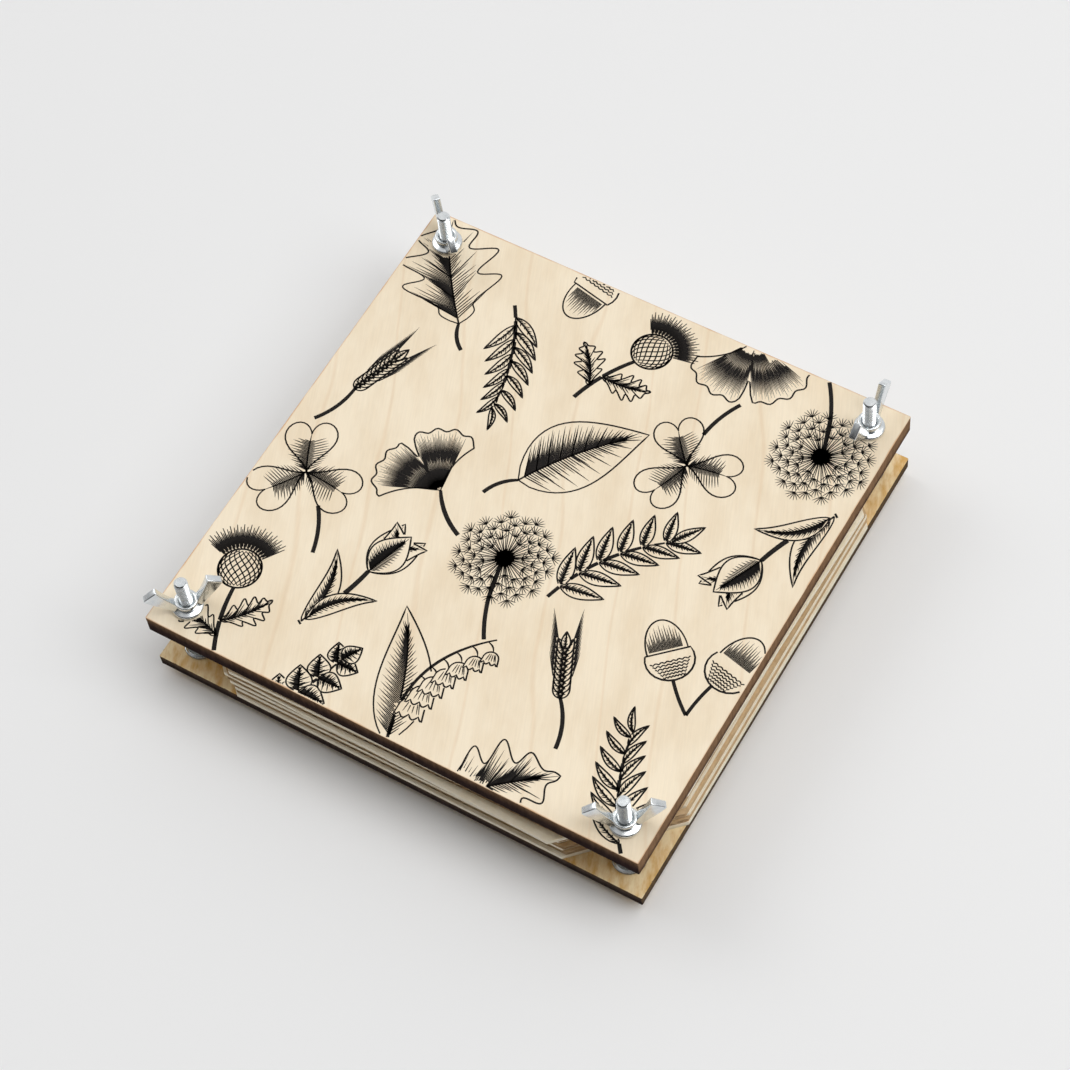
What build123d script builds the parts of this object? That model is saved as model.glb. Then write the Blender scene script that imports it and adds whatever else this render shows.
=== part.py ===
from build123d import *
import math
import os

os.makedirs("parts", exist_ok=True)

# A flower press: two square plywood boards squeeze a stack of corrugated card and blotting
# paper, drawn together by four bolts with wing nuts. Millimetres, +Z up. The origin lies under
# the middle of the boards, on the plane that the bolt heads stand on, and X runs along the front.

# Boards
board_side = 155.0
board_corner_radius = 0.3
top_board_thickness = 6.5
bottom_board_thickness = 4.0
bolt_inset = 8.6  # from a board's edge to the bolt axis

# Bolts
thread_diameter = 3.9  # over the crests
bolt_length = 40.0  # under the head
bolt_end_chamfer = 0.5
head_across_flats = 7.0
head_height = 2.8

# Washers under the bottom board
washer_diameter = 9.0
washer_thickness = 0.8

# Flange nuts on the bottom board
flange_diameter = 9.6
flange_rim_height = 0.6
flange_cone_rise = 0.7
flange_nut_height = 4.65
flange_nut_across_flats = 7.0

# Radial room around the thread
nut_clearance = 0.05
washer_clearance = 0.2
bottom_hole_clearance = 0.3
top_hole_clearance = 0.45

# Hubs of the wing nuts
hub_height = 4.0
hub_wall = 1.35  # of the ring at the top
hub_flare = 1.15  # from the ring out to the base
hub_rim_height = 0.6
hub_ring_height = 1.4
wing_root_depth = 0.35  # how far the wings' edges start inside the hub
hub_knee_shares = (0.3, 0.4)  # where the waist bends: of the flare, and of the height from rim to ring

# Wings of the wing nuts
wing_span = 22.4  # over the tips, before their corners are rounded
wing_height = 12.2  # from the seat, likewise
wing_thickness = 2.2
wing_edge_bow = 0.3
wing_tip_radius = 0.7
wing_inner_tip_share = 0.64  # of half the span
wing_outer_tip_share = 0.77  # of the height
wing_headings = (45, 33, 90, 137)  # degrees from +X, at the left, front, right and back corners

# Sheets
leaf_count = 5  # pairs of blotters, each under one card
blotter_setback = 0.5  # from the boards' edges
card_setback = 1.0
sheet_bolt_gap = 1.4  # from a flange nut to the clipped corners
blotter_thickness = 0.75
card_thickness = 1.6
liner_thickness = 0.25
flute_wall = 0.25
flute_pitch = 3.24

# How each leaf lies askew, from the bottom up: degrees of turn, and shares of the stray in X and Y
sheet_stray = 1.0
blotter_turns = (0.1, 0.4, 0.6, -1.1, 0.9)
blotter_stray_shares = ((0.9, -0.7), (0.2, 0.1), (-1.1, 0.1), (-0.4, -1.2), (-0.8, 0.3))
card_turns = (0.4, 0.3, 0.4, 0.9, 0.5)
card_stray_shares = ((0.9, -0.4), (0.45, -0.5), (-0.9, -0.5), (-0.9, -0.2), (-0.8, 0.2))

# Heights, from the ground up
washer_floor = head_height
bottom_board_floor = washer_floor + washer_thickness
stack_floor = bottom_board_floor + bottom_board_thickness
leaf_height = 2 * blotter_thickness + card_thickness
top_board_floor = stack_floor + leaf_count * leaf_height
wing_nut_floor = top_board_floor + top_board_thickness

# Corners, numbered from the left one round by the front
bolt_reach = board_side / 2 - bolt_inset
corner_signs = ((-1, -1), (1, -1), (1, 1), (-1, 1))
thread_radius = thread_diameter / 2
bore_radius = thread_radius + nut_clearance


def save(piece, name):
    """Label a finished piece and write it as its own file."""
    piece.part.label = name
    export_step(piece.part, f"parts/{name}.step")


def corner_plane(corner, floor):
    """The level plane at one bolt axis, at the height given."""
    sign_x, sign_y = corner_signs[corner]
    return Plane(origin=(sign_x * bolt_reach, sign_y * bolt_reach, floor))


def upright_plane(level, heading):
    """The upright plane through a level plane's origin, with its x along the heading, its y up."""
    along = Vector(1, 0, 0).rotate(Axis.Z, heading)
    return Plane(origin=level.origin, x_dir=along, z_dir=along.cross(level.z_dir))


def bolt_axis(level):
    """The bolt axis through a level plane's origin."""
    return Axis(level.origin, level.z_dir)


# Boards: square plates, with the bolt holes drilled through


def make_board(name, floor, thickness, hole_clearance):
    with BuildPart() as board:
        with BuildSketch(Plane.XY.offset(floor)):
            RectangleRounded(board_side, board_side, board_corner_radius)
        extrude(amount=thickness)
        with GridLocations(2 * bolt_reach, 2 * bolt_reach, 2, 2):
            Hole(thread_radius + hole_clearance)
    save(board, name)


make_board("bottom_board", bottom_board_floor, bottom_board_thickness, bottom_hole_clearance)
make_board("top_board", top_board_floor, top_board_thickness, top_hole_clearance)


# Bolts: hexagon heads that stand on the ground, and shanks up through both boards


def make_bolt(corner):
    with BuildPart() as bolt:
        with BuildSketch(corner_plane(corner, 0)):
            RegularPolygon(head_across_flats / 2, 6, major_radius=False)
        extrude(amount=head_height)
        with BuildSketch(corner_plane(corner, head_height)):
            Circle(thread_radius)
        extrude(amount=bolt_length)
        end_face = bolt.faces().sort_by(Axis.Z)[-1]
        chamfer(end_face.edges(), length=bolt_end_chamfer)
    save(bolt, f"bolt_{corner + 1}")


# Washers: flat rings between the bolt heads and the bottom board, in one group

with BuildPart() as washers:
    with BuildSketch(Plane.XY.offset(washer_floor)):
        with GridLocations(2 * bolt_reach, 2 * bolt_reach, 2, 2):
            Circle(washer_diameter / 2)
            Circle(thread_radius + washer_clearance, mode=Mode.SUBTRACT)
    extrude(amount=washer_thickness)
save(washers, "washers")


# Flange nuts: a hexagon on a round flange that slopes up to the hexagon's corners


def make_flange_nut(corner):
    seat = corner_plane(corner, stack_floor)
    flange_radius = flange_diameter / 2
    hexagon_radius = flange_nut_across_flats / math.sqrt(3)
    cone_top = flange_rim_height + flange_cone_rise
    with BuildPart() as nut:
        with BuildSketch(upright_plane(seat, 0)):
            Polygon(
                (0, 0),
                (flange_radius, 0),
                (flange_radius, flange_rim_height),
                (hexagon_radius, cone_top),
                (0, cone_top),
                align=None,
            )
        revolve(axis=bolt_axis(seat))
        with BuildSketch(seat.offset(cone_top)):
            RegularPolygon(flange_nut_across_flats / 2, 6, major_radius=False)
        extrude(amount=flange_nut_height - cone_top)
        with Locations(seat):
            Hole(bore_radius)
    save(nut, f"flange_nut_{corner + 1}")


# Wing nuts: a waisted hub turned about the bolt, with two flared wings of one thickness


def make_wing_nut(corner):
    seat = corner_plane(corner, wing_nut_floor)
    section = upright_plane(seat, wing_headings[corner])
    ring_radius = bore_radius + hub_wall
    base_radius = ring_radius + hub_flare
    ring_floor = hub_height - hub_ring_height
    flare_share, rise_share = hub_knee_shares
    knee_height = hub_rim_height + rise_share * (ring_floor - hub_rim_height)
    knee = (ring_radius + flare_share * hub_flare, knee_height)
    wing_core = bore_radius + hub_wall / 2
    inner_root = (wing_core, hub_height - wing_root_depth)
    outer_root = (base_radius - wing_root_depth, hub_rim_height)
    inner_tip = (wing_inner_tip_share * wing_span / 2, wing_height)
    outer_tip = (wing_span / 2, wing_outer_tip_share * wing_height)
    with BuildPart() as wing_nut:
        with BuildSketch(section) as wings:
            with BuildLine():
                SagittaArc(inner_root, inner_tip, -wing_edge_bow)
                SagittaArc(inner_tip, outer_tip, wing_edge_bow)
                SagittaArc(outer_tip, outer_root, wing_edge_bow)
                Polyline(outer_root, (wing_core, hub_rim_height), inner_root)
            make_face()
            tips = wings.vertices().sort_by(Axis.Y)[-2:]
            fillet(tips, radius=wing_tip_radius)
            mirror(about=Plane.YZ)
        extrude(amount=wing_thickness / 2, both=True)
        with BuildSketch(section):
            Polygon(
                (0, 0),
                (base_radius, 0),
                (base_radius, hub_rim_height),
                knee,
                (ring_radius, ring_floor),
                (ring_radius, hub_height),
                (0, hub_height),
                align=None,
            )
        revolve(axis=bolt_axis(seat))
        with Locations(seat):
            Hole(bore_radius)
    save(wing_nut, f"wing_nut_{corner + 1}")


for corner in range(len(corner_signs)):
    make_bolt(corner)
    make_flange_nut(corner)
    make_wing_nut(corner)


# Sheets: squares with corners clipped clear of the flange nuts, stacked by leaves


def sheet_plane(floor, turn, stray_shares):
    """The plane that a sheet lies on, a little askew."""
    share_x, share_y = stray_shares
    return Plane(Location((share_x * sheet_stray, share_y * sheet_stray, floor), (0, 0, turn)))


def clip_length(setback):
    """How far each corner of a sheet is cut back along its sides."""
    return 2 * (bolt_inset - setback) + math.sqrt(2) * (flange_diameter / 2 + sheet_bolt_gap)


def make_blotter(number, plane):
    side = board_side - 2 * blotter_setback
    with BuildPart() as blotter:
        with BuildSketch(plane) as outline:
            Rectangle(side, side)
            chamfer(outline.vertices(), length=clip_length(blotter_setback))
        extrude(amount=blotter_thickness)
    save(blotter, f"blotter_{number}")


def make_card(number, plane):
    """A card with a row of flutes drawn through from side to side, trimmed to the sheet's outline."""
    side = board_side - 2 * card_setback
    flute_height = card_thickness - 2 * liner_thickness
    slope = math.atan2(flute_height, flute_pitch / 2)
    tunnel_base = flute_pitch - flute_wall / math.sin(slope)
    tunnel_height = tunnel_base / 2 * math.tan(slope)
    flute_count = math.ceil(side / flute_pitch)
    end_middle = plane.origin - plane.y_dir * side / 2
    end_plane = Plane(origin=end_middle, x_dir=plane.x_dir, z_dir=-plane.y_dir)
    with BuildPart() as card:
        with BuildSketch(end_plane):
            Rectangle(side, card_thickness, align=(Align.CENTER, Align.MIN))
            with GridLocations(flute_pitch, 0, flute_count, 1):
                Polygon(
                    (-tunnel_base / 2, liner_thickness),
                    (tunnel_base / 2, liner_thickness),
                    (0, liner_thickness + tunnel_height),
                    align=None,
                    mode=Mode.SUBTRACT,
                )
        extrude(amount=-side)
        with BuildSketch(plane) as outline:
            Rectangle(side, side)
            chamfer(outline.vertices(), length=clip_length(card_setback))
        extrude(amount=card_thickness, mode=Mode.INTERSECT)
    save(card, f"card_{number}")


for leaf in range(leaf_count):
    leaf_floor = stack_floor + leaf * leaf_height
    blotter_turn = blotter_turns[leaf]
    blotter_shares = blotter_stray_shares[leaf]
    lower_plane = sheet_plane(leaf_floor, blotter_turn, blotter_shares)
    make_blotter(2 * leaf + 1, lower_plane)
    make_blotter(2 * leaf + 2, lower_plane.offset(blotter_thickness))
    card_floor = leaf_floor + 2 * blotter_thickness
    make_card(leaf + 1, sheet_plane(card_floor, card_turns[leaf], card_stray_shares[leaf]))
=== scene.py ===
"""The looks of a flower press: plywood boards, a stack of sheets and zinc-plated corner hardware."""

import logging
import math
from collections.abc import Callable, Iterable, Sequence
from dataclasses import dataclass, field, replace
from enum import Enum
from typing import Protocol

import bmesh
import bpy
import numpy as np
from bpy.types import Material, Node, NodeSocket, NodeTree
from mathutils import Matrix, Vector


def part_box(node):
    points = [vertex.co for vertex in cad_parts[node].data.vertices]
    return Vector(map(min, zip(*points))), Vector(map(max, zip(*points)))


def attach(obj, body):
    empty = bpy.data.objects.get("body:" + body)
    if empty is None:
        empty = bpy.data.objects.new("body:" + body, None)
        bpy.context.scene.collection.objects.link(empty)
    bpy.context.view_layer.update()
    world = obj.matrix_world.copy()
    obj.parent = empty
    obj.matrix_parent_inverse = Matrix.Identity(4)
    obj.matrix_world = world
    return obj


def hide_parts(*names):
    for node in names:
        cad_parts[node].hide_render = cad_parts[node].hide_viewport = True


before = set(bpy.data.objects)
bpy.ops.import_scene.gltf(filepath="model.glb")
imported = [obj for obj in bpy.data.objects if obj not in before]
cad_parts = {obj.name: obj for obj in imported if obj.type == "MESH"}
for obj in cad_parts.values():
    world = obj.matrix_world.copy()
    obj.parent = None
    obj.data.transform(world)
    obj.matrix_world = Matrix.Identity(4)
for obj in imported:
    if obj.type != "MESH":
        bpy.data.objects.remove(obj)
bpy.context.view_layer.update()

log = logging.getLogger("flower_press")
MM = 0.001
FULL_TURN = 2 * math.pi
UPWARDS = 90.0  # the heading of +Y, in degrees
CORNERS = (1, 2, 3, 4)  # left, front, right and back
SEAM_GAP = 0.001  # in millimetres: closer points of a closed skin are one
NOISE_LOW, NOISE_HIGH = 0.3, 0.7  # where most values of a noise texture lie
MIX_A, MIX_B, MIX_RESULT = 6, 7, 2  # the colour sockets of a Mix node


class Body(Enum):
    """The bodies of the press that carry more than one piece."""

    BASE = "base"
    PRESS_TOP = "press_top"


class Slot(Enum):
    """The record's material slots."""

    PLYWOOD = "plywood"
    ZINC = "zinc_plated_steel"
    CARD = "corrugated_card"
    PAPER = "blotting_paper"


# Helpers for meshes


@dataclass
class Surface:
    """A mesh in millimetres: an array of points, and an array of quads that number them."""

    points: np.ndarray
    quads: np.ndarray

    @classmethod
    def grid(cls, points: np.ndarray, closed: bool) -> "Surface":
        """Skin a grid of points with quads between neighbours.

        Args:
            points: rows x columns x 3.
            closed: whether the last column joins the first.

        Returns:
            The skin, with its points row by row.
        """
        rows, columns = points.shape[:2]
        row = np.arange(rows - 1)[:, None]
        column = np.arange(columns if closed else columns - 1)[None, :]
        here = row * columns + column
        beside = row * columns + (column + 1) % columns
        quads = np.stack([here, beside, beside + columns, here + columns], axis=-1)
        return cls(points.reshape(-1, 3), quads.reshape(-1, 4))

    @classmethod
    def join(cls, parts: Sequence["Surface"]) -> "Surface":
        """Gather several surfaces into one, with the quads renumbered.

        Args:
            parts: the surfaces.

        Returns:
            The one surface.
        """
        sizes = [len(part.points) for part in parts]
        starts = np.cumsum([0] + sizes[:-1])
        quads = np.concatenate([part.quads + start for part, start in zip(parts, starts)])
        return cls(np.concatenate([part.points for part in parts]), quads)

    def placed(self, place: Sequence[float], heading: float = 0.0) -> "Surface":
        """Turn the surface about the upright axis, then move it.

        Args:
            place: where its origin goes, in millimetres.
            heading: the turn in degrees.

        Returns:
            The surface in its new place.
        """
        turn = np.array(Matrix.Rotation(math.radians(heading), 3, "Z"))
        return Surface(self.points @ turn.T + np.array(place), self.quads)


def polar_surface(radii: np.ndarray, heights: np.ndarray) -> Surface:
    """A skin round the upright axis: at angle a it has the points (r cos a, r sin a, z).

    Args:
        radii: r for each row and each of the evenly spaced angles.
        heights: z for each row.

    Returns:
        The skin, closed round the axis.
    """
    angles = np.linspace(0, FULL_TURN, radii.shape[1], endpoint=False)
    upright = np.broadcast_to(heights[:, None], radii.shape)
    points = np.stack([radii * np.cos(angles), radii * np.sin(angles), upright], axis=-1)
    return Surface.grid(points, closed=True)


def turned(profile: Sequence[tuple[float, float]], columns: int) -> Surface:
    """A profile of (radius, height) points turned once round the upright axis."""
    outline = np.array(profile, float)
    return polar_surface(np.repeat(outline[:, :1], columns, axis=1), outline[:, 1])


def bead(radius: float, height: float) -> np.ndarray:
    """The round edge of a disc: a half circle as high as the disc, whose outermost point is at its radius.

    Args:
        radius: the disc's radius.
        height: the disc's height.

    Returns:
        A profile of (radius, height) points from the bottom up.
    """
    rounding = height / 2
    angles = np.linspace(-math.pi / 2, math.pi / 2, 9)
    return (radius - rounding, rounding) + rounding * np.stack([np.cos(angles), np.sin(angles)], axis=1)


def hexagon(flats: float, columns: int) -> np.ndarray:
    """The radius of a hexagon by angle: half its flats over the cosine of the angle from a flat."""
    angles = np.linspace(0, FULL_TURN, columns, endpoint=False)
    return flats / 2 / np.cos(angles % (math.pi / 3) - math.pi / 6)


def chamfer(
    hexes: np.ndarray, face_share: float = 0.94, angle: float = 30.0, rows: int = 6
) -> tuple[np.ndarray, np.ndarray]:
    """The chamfer round a hexagon's end: a row's radius is the hexagon's, or the cone's where that is less.

    Args:
        hexes: the hexagon's radius by angle.
        face_share: the round face's width as a share of the width across the flats.
        angle: between the cone and the face, in degrees.
        rows: how many rows it gets, with the face's edge as the first.

    Returns:
        Each row's distance from the face, and its radius by angle.
    """
    face_radius = face_share * hexes.min()
    slope = math.tan(math.radians(angle))
    depths = np.linspace(0, (hexes.max() - face_radius) * slope, rows)
    return depths, np.minimum(hexes, face_radius + depths[:, None] / slope)


def mid_place(node: str) -> tuple[float, float, float]:
    """The point under the middle of a CAD node, in millimetres."""
    low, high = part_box(node)
    return ((low.x + high.x) / 2 / MM, (low.y + high.y) / 2 / MM, low.z / MM)


def node_size(node: str) -> tuple[float, ...]:
    """A CAD node's size along X, Y and Z, in millimetres."""
    low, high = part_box(node)
    return tuple((top - bottom) / MM for bottom, top in zip(low, high))


def put_in_scene(name: str, data: bpy.types.ID) -> bpy.types.Object:
    """Make an object and link it to the scene.

    Args:
        name: the object's name.
        data: its mesh, lamp or camera.

    Returns:
        The object.
    """
    thing = bpy.data.objects.new(name, data)
    bpy.context.scene.collection.objects.link(thing)
    return thing


def make_piece(
    name: str,
    surface: Surface,
    material: Material,
    body: str,
    stands_for: Sequence[str] = (),
    sharp_above: float = 35.0,
    solid: bool = True,
) -> None:
    """Make a surface into a dressed piece that rides on a body.

    Args:
        name: the piece's name.
        surface: its shape.
        material: its finish.
        body: the body that carries it.
        stands_for: the CAD nodes that it replaces.
        sharp_above: the angle in degrees above which an edge stays sharp.
        solid: whether it is a closed skin, whose seams are merged and whose faces turn outwards.
    """
    mesh = bpy.data.meshes.new(name)
    mesh.from_pydata((surface.points * MM).tolist(), [], surface.quads.tolist())
    if solid:
        skin = bmesh.new()
        skin.from_mesh(mesh)
        bmesh.ops.remove_doubles(skin, verts=skin.verts, dist=SEAM_GAP * MM)
        bmesh.ops.recalc_face_normals(skin, faces=skin.faces)
        skin.to_mesh(mesh)
        skin.free()
    mesh.shade_smooth()
    mesh.set_sharp_from_angle(angle=math.radians(sharp_above))
    mesh.materials.append(material)
    piece = put_in_scene(name, mesh)
    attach(piece, body)
    if stands_for:
        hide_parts(*stands_for)
    log.info("%s: %d quads on %s", name, len(mesh.polygons), body)


def dress_node(node: str, material: Material) -> None:
    """Give a CAD node a finish in place of its plain one.

    Args:
        node: the node's name.
        material: the finish.
    """
    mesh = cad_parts[node].data
    mesh.materials.clear()
    mesh.materials.append(material)
    log.info("%s: dressed in %s", node, material.name)


# Helpers for finishes


def linear(code: str) -> tuple[float, float, float, float]:
    """Turn an sRGB colour into linear light.

    Args:
        code: the colour as six hex digits.

    Returns:
        Its red, green, blue and alpha.
    """
    channels = np.array([int(code[place:place + 2], 16) for place in (0, 2, 4)]) / 255
    light = np.where(channels <= 0.04045, channels / 12.92, ((channels + 0.055) / 1.055) ** 2.4)
    return (*light.tolist(), 1.0)


def per_mm(size: float) -> float:
    """The scale at which a texture's features measure the given millimetres."""
    return 1 / (size * MM)


def add_node(tree: NodeTree, kind: str, settings: dict | None = None, inputs: dict | None = None,
             stops: Iterable[tuple[float, str]] = ()) -> Node:
    """Add a shader node.

    Args:
        tree: the node tree.
        kind: the node's type.
        settings: its properties.
        inputs: values or other nodes' outputs, by socket name or number.
        stops: a colour ramp's places and hex colours.

    Returns:
        The node.
    """
    node = tree.nodes.new(kind)
    for name, value in (settings or {}).items():
        setattr(node, name, value)
    for socket, value in (inputs or {}).items():
        if isinstance(value, NodeSocket):
            tree.links.new(value, node.inputs[socket])
        else:
            node.inputs[socket].default_value = value
    for number, (place, code) in enumerate(stops):
        elements = node.color_ramp.elements
        element = elements[number] if number < 2 else elements.new(place)
        element.position = place
        element.color = linear(code)
    return node


def new_material(name: str, **inputs: object) -> tuple[Material, NodeTree, Node]:
    """Start a material with one shader.

    Args:
        name: the material's name.
        inputs: constants of the shader's sockets, with _ for a space.

    Returns:
        The material, its node tree and its shader.
    """
    material = bpy.data.materials.new(name)
    material.use_nodes = True
    tree = material.node_tree
    shader = tree.nodes["Principled BSDF"]
    for socket, value in inputs.items():
        shader.inputs[socket.replace("_", " ")].default_value = value
    return material, tree, shader


# Finishes


@dataclass(frozen=True)
class ZincPlate:
    """Zinc plate on drawn steel: a blue-white metal with soft reflections and faint handling marks."""

    name: str = "bright_zinc_plate"
    colour: str = "ECEFF0"
    shade: str = "DDE2E5"
    blotch_size: float = 1.6
    blotch_span: tuple[float, float] = (0.3, 0.65)  # of the noise, from shade to colour
    roughness_low: float = 0.18
    roughness_high: float = 0.26

    def material(self) -> Material:
        """Metal whose colour and roughness drift in blotches, as plated parts from a drum do.

        Returns:
            The material.
        """
        material, tree, shader = new_material(self.name, Metallic=1.0)
        place = add_node(tree, "ShaderNodeTexCoord").outputs["Object"]
        blotches = add_node(tree, "ShaderNodeTexNoise", inputs={
            "Vector": place, "Scale": per_mm(self.blotch_size), "Detail": 3.0}).outputs["Fac"]
        colour = add_node(tree, "ShaderNodeValToRGB", inputs={"Fac": blotches},
                          stops=zip(self.blotch_span, (self.shade, self.colour)))
        roughness = add_node(tree, "ShaderNodeMapRange", inputs={
            "Value": blotches, "From Min": NOISE_LOW, "From Max": NOISE_HIGH,
            "To Min": self.roughness_low, "To Max": self.roughness_high})
        tree.links.new(colour.outputs["Color"], shader.inputs["Base Color"])
        tree.links.new(roughness.outputs["Result"], shader.inputs["Roughness"])
        return material


@dataclass(frozen=True)
class BirchPlywood:
    """Sanded birch plywood cut by laser: pale satin veneer with thin growth lines, and scorched edges."""

    name: str
    floor: float
    thickness: float
    half_side: float
    veneer_pale: str
    veneer_deep: str
    growth_line: str
    smoke: str
    edge_stops: tuple[tuple[float, str], ...]
    roughness: float = 0.55
    veneer_gloss: float = 0.35
    grain_heading: float = -67.0
    figure_size: float = 30.0
    figure_squeeze: float = 0.3  # the scale along the grain over that across it, like the squeezes below
    blotch_size: float = 9.0
    blotch_squeeze: float = 0.4
    blotch_span: tuple[float, float] = (0.35, 0.62)  # of the noise, from deep to pale
    fibre_width: float = 0.45
    fibre_squeeze: float = 0.05
    fibre_span: tuple[float, float] = (0.35, 0.65)  # of the noise, from dark to pale
    fibre_contrast: float = 0.025
    fibre_bump: float = 0.25
    fibre_depth: float = 0.05
    growth_spacing: float = 18.0
    growth_width: float = 0.9
    growth_share: float = 0.2
    growth_bend: float = 1.1  # by the figure, in spacings
    smoke_size: float = 9.0
    smoke_reach: float = 0.45
    smoke_fade: float = 0.6
    smoke_unevenness: float = 0.8
    smoke_share_most: float = 0.85
    scorch_size: float = 1.1
    scorch_squeeze: float = 0.25  # the scale up the edge over that along it
    scorch_raggedness: float = 0.16  # as a share of the board's thickness
    scorch_streaks: tuple[float, float] = (0.75, 1.2)  # times the colour
    right_edge_painted_light: float = 0.6  # painted light: how much higher on the scale of scorching, so paler, the +X edge starts, for the side lamp's light on it

    def material(self) -> Material:
        """Veneer on the level faces and scorched plies on the upright ones.

        Returns:
            The material.
        """
        material, tree, shader = new_material(
            self.name, Roughness=self.roughness, Specular_IOR_Level=self.veneer_gloss)
        place = add_node(tree, "ShaderNodeTexCoord").outputs["Object"]
        veneer, fibres = self.veneer(tree, place)
        facing = add_node(tree, "ShaderNodeSeparateXYZ", inputs={
            0: add_node(tree, "ShaderNodeNewGeometry").outputs["True Normal"]})
        edge = self.scorched_edge(tree, place, facing.outputs["X"])
        level = add_node(tree, "ShaderNodeMath", {"operation": "ABSOLUTE"}, {0: facing.outputs["Z"]})
        gloss = add_node(tree, "ShaderNodeMath", {"operation": "MULTIPLY"}, {
            0: level.outputs[0], 1: self.veneer_gloss})
        colour = add_node(tree, "ShaderNodeMix", {"data_type": "RGBA"}, {
            "Factor": level.outputs[0], MIX_A: edge, MIX_B: veneer})
        bump = add_node(tree, "ShaderNodeBump", inputs={
            "Strength": self.fibre_bump, "Distance": self.fibre_depth * MM, "Height": fibres})
        tree.links.new(colour.outputs[MIX_RESULT], shader.inputs["Base Color"])
        tree.links.new(bump.outputs["Normal"], shader.inputs["Normal"])
        tree.links.new(gloss.outputs[0], shader.inputs["Specular IOR Level"])
        return material

    def grain_noise(self, tree: NodeTree, along: NodeSocket, squeeze: float, **inputs: float) -> NodeSocket:
        """A noise that is drawn out along the grain.

        Args:
            tree: the node tree.
            along: coordinates with X along the grain.
            squeeze: the scale along the grain over that across it.
            inputs: the noise's constants.

        Returns:
            The noise.
        """
        drawn_out = add_node(tree, "ShaderNodeMapping", inputs={"Vector": along, "Scale": (squeeze, 1, 1)})
        noise = add_node(tree, "ShaderNodeTexNoise", inputs={"Vector": drawn_out.outputs["Vector"], **inputs})
        return noise.outputs["Fac"]

    def veneer(self, tree: NodeTree, place: NodeSocket) -> tuple[NodeSocket, NodeSocket]:
        """Colour the face: blotches, growth lines and fibres along the grain, and smoke stains by the edges.

        Args:
            tree: the node tree.
            place: the Object coordinates.

        Returns:
            The colour, and the fibres as a height.
        """
        along = add_node(tree, "ShaderNodeMapping", inputs={
            "Vector": place, "Rotation": (0, 0, -math.radians(self.grain_heading))}).outputs["Vector"]
        figure = self.grain_noise(
            tree, along, self.figure_squeeze, Scale=per_mm(self.figure_size), Detail=2.0)
        blotches = self.grain_noise(
            tree, along, self.blotch_squeeze, Scale=per_mm(self.blotch_size), Detail=4.0, Roughness=0.6)
        fibres = self.grain_noise(
            tree, along, self.fibre_squeeze, Scale=per_mm(self.fibre_width), Detail=3.0)
        ground = add_node(tree, "ShaderNodeValToRGB", inputs={"Fac": blotches},
                          stops=zip(self.blotch_span, (self.veneer_deep, self.veneer_pale)))
        across = add_node(tree, "ShaderNodeSeparateXYZ", inputs={0: along}).outputs["Y"]
        bent = add_node(tree, "ShaderNodeMath", {"operation": "MULTIPLY_ADD"}, {
            0: figure, 1: self.growth_bend * self.growth_spacing * MM, 2: across})
        off_line = add_node(tree, "ShaderNodeMath", {"operation": "PINGPONG"}, {
            0: bent.outputs[0], 1: self.growth_spacing / 2 * MM})
        line = add_node(tree, "ShaderNodeMapRange", {"interpolation_type": "SMOOTHERSTEP"}, {
            "Value": off_line.outputs[0], "From Min": 0.0, "From Max": self.growth_width * MM,
            "To Min": self.growth_share, "To Max": 0.0})
        lined = add_node(tree, "ShaderNodeMix", {"data_type": "RGBA"}, {
            "Factor": line.outputs["Result"],
            MIX_A: ground.outputs["Color"], MIX_B: linear(self.growth_line)})
        streaks = add_node(tree, "ShaderNodeMapRange", inputs={
            "Value": fibres, "From Min": self.fibre_span[0], "From Max": self.fibre_span[1],
            "To Min": 1 - self.fibre_contrast, "To Max": 1 + self.fibre_contrast / 2})
        fibred = add_node(tree, "ShaderNodeVectorMath", {"operation": "SCALE"}, {
            0: lined.outputs[MIX_RESULT], "Scale": streaks.outputs["Result"]})
        stain = add_node(tree, "ShaderNodeMix", {"data_type": "RGBA"}, {
            "Factor": self.smoke_share(tree, place),
            MIX_A: fibred.outputs["Vector"], MIX_B: linear(self.smoke)})
        return stain.outputs[MIX_RESULT], fibres

    def smoke_share(self, tree: NodeTree, place: NodeSocket) -> NodeSocket:
        """How much the laser's smoke has stained the face: most at the edge, in uneven puffs.

        Args:
            tree: the node tree.
            place: the Object coordinates.

        Returns:
            The share of smoke.
        """
        puffs = add_node(tree, "ShaderNodeTexNoise", inputs={
            "Vector": place, "Scale": per_mm(self.smoke_size), "Detail": 2.0})
        flat = add_node(tree, "ShaderNodeVectorMath", {"operation": "ABSOLUTE"}, {0: place})
        parts = add_node(tree, "ShaderNodeSeparateXYZ", inputs={0: flat.outputs["Vector"]})
        out = add_node(tree, "ShaderNodeMath", {"operation": "MAXIMUM"}, {
            0: parts.outputs["X"], 1: parts.outputs["Y"]})
        uneven = add_node(tree, "ShaderNodeMath", {"operation": "MULTIPLY_ADD"}, {
            0: puffs.outputs["Fac"], 1: self.smoke_unevenness * MM, 2: out.outputs[0]})
        start = self.half_side + self.smoke_unevenness / 2 - self.smoke_reach
        share = add_node(tree, "ShaderNodeMapRange", {"interpolation_type": "SMOOTHSTEP"}, {
            "Value": uneven.outputs[0], "From Min": start * MM, "From Max": (start + self.smoke_fade) * MM,
            "To Min": 0.0, "To Max": self.smoke_share_most})
        return share.outputs["Result"]

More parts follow.
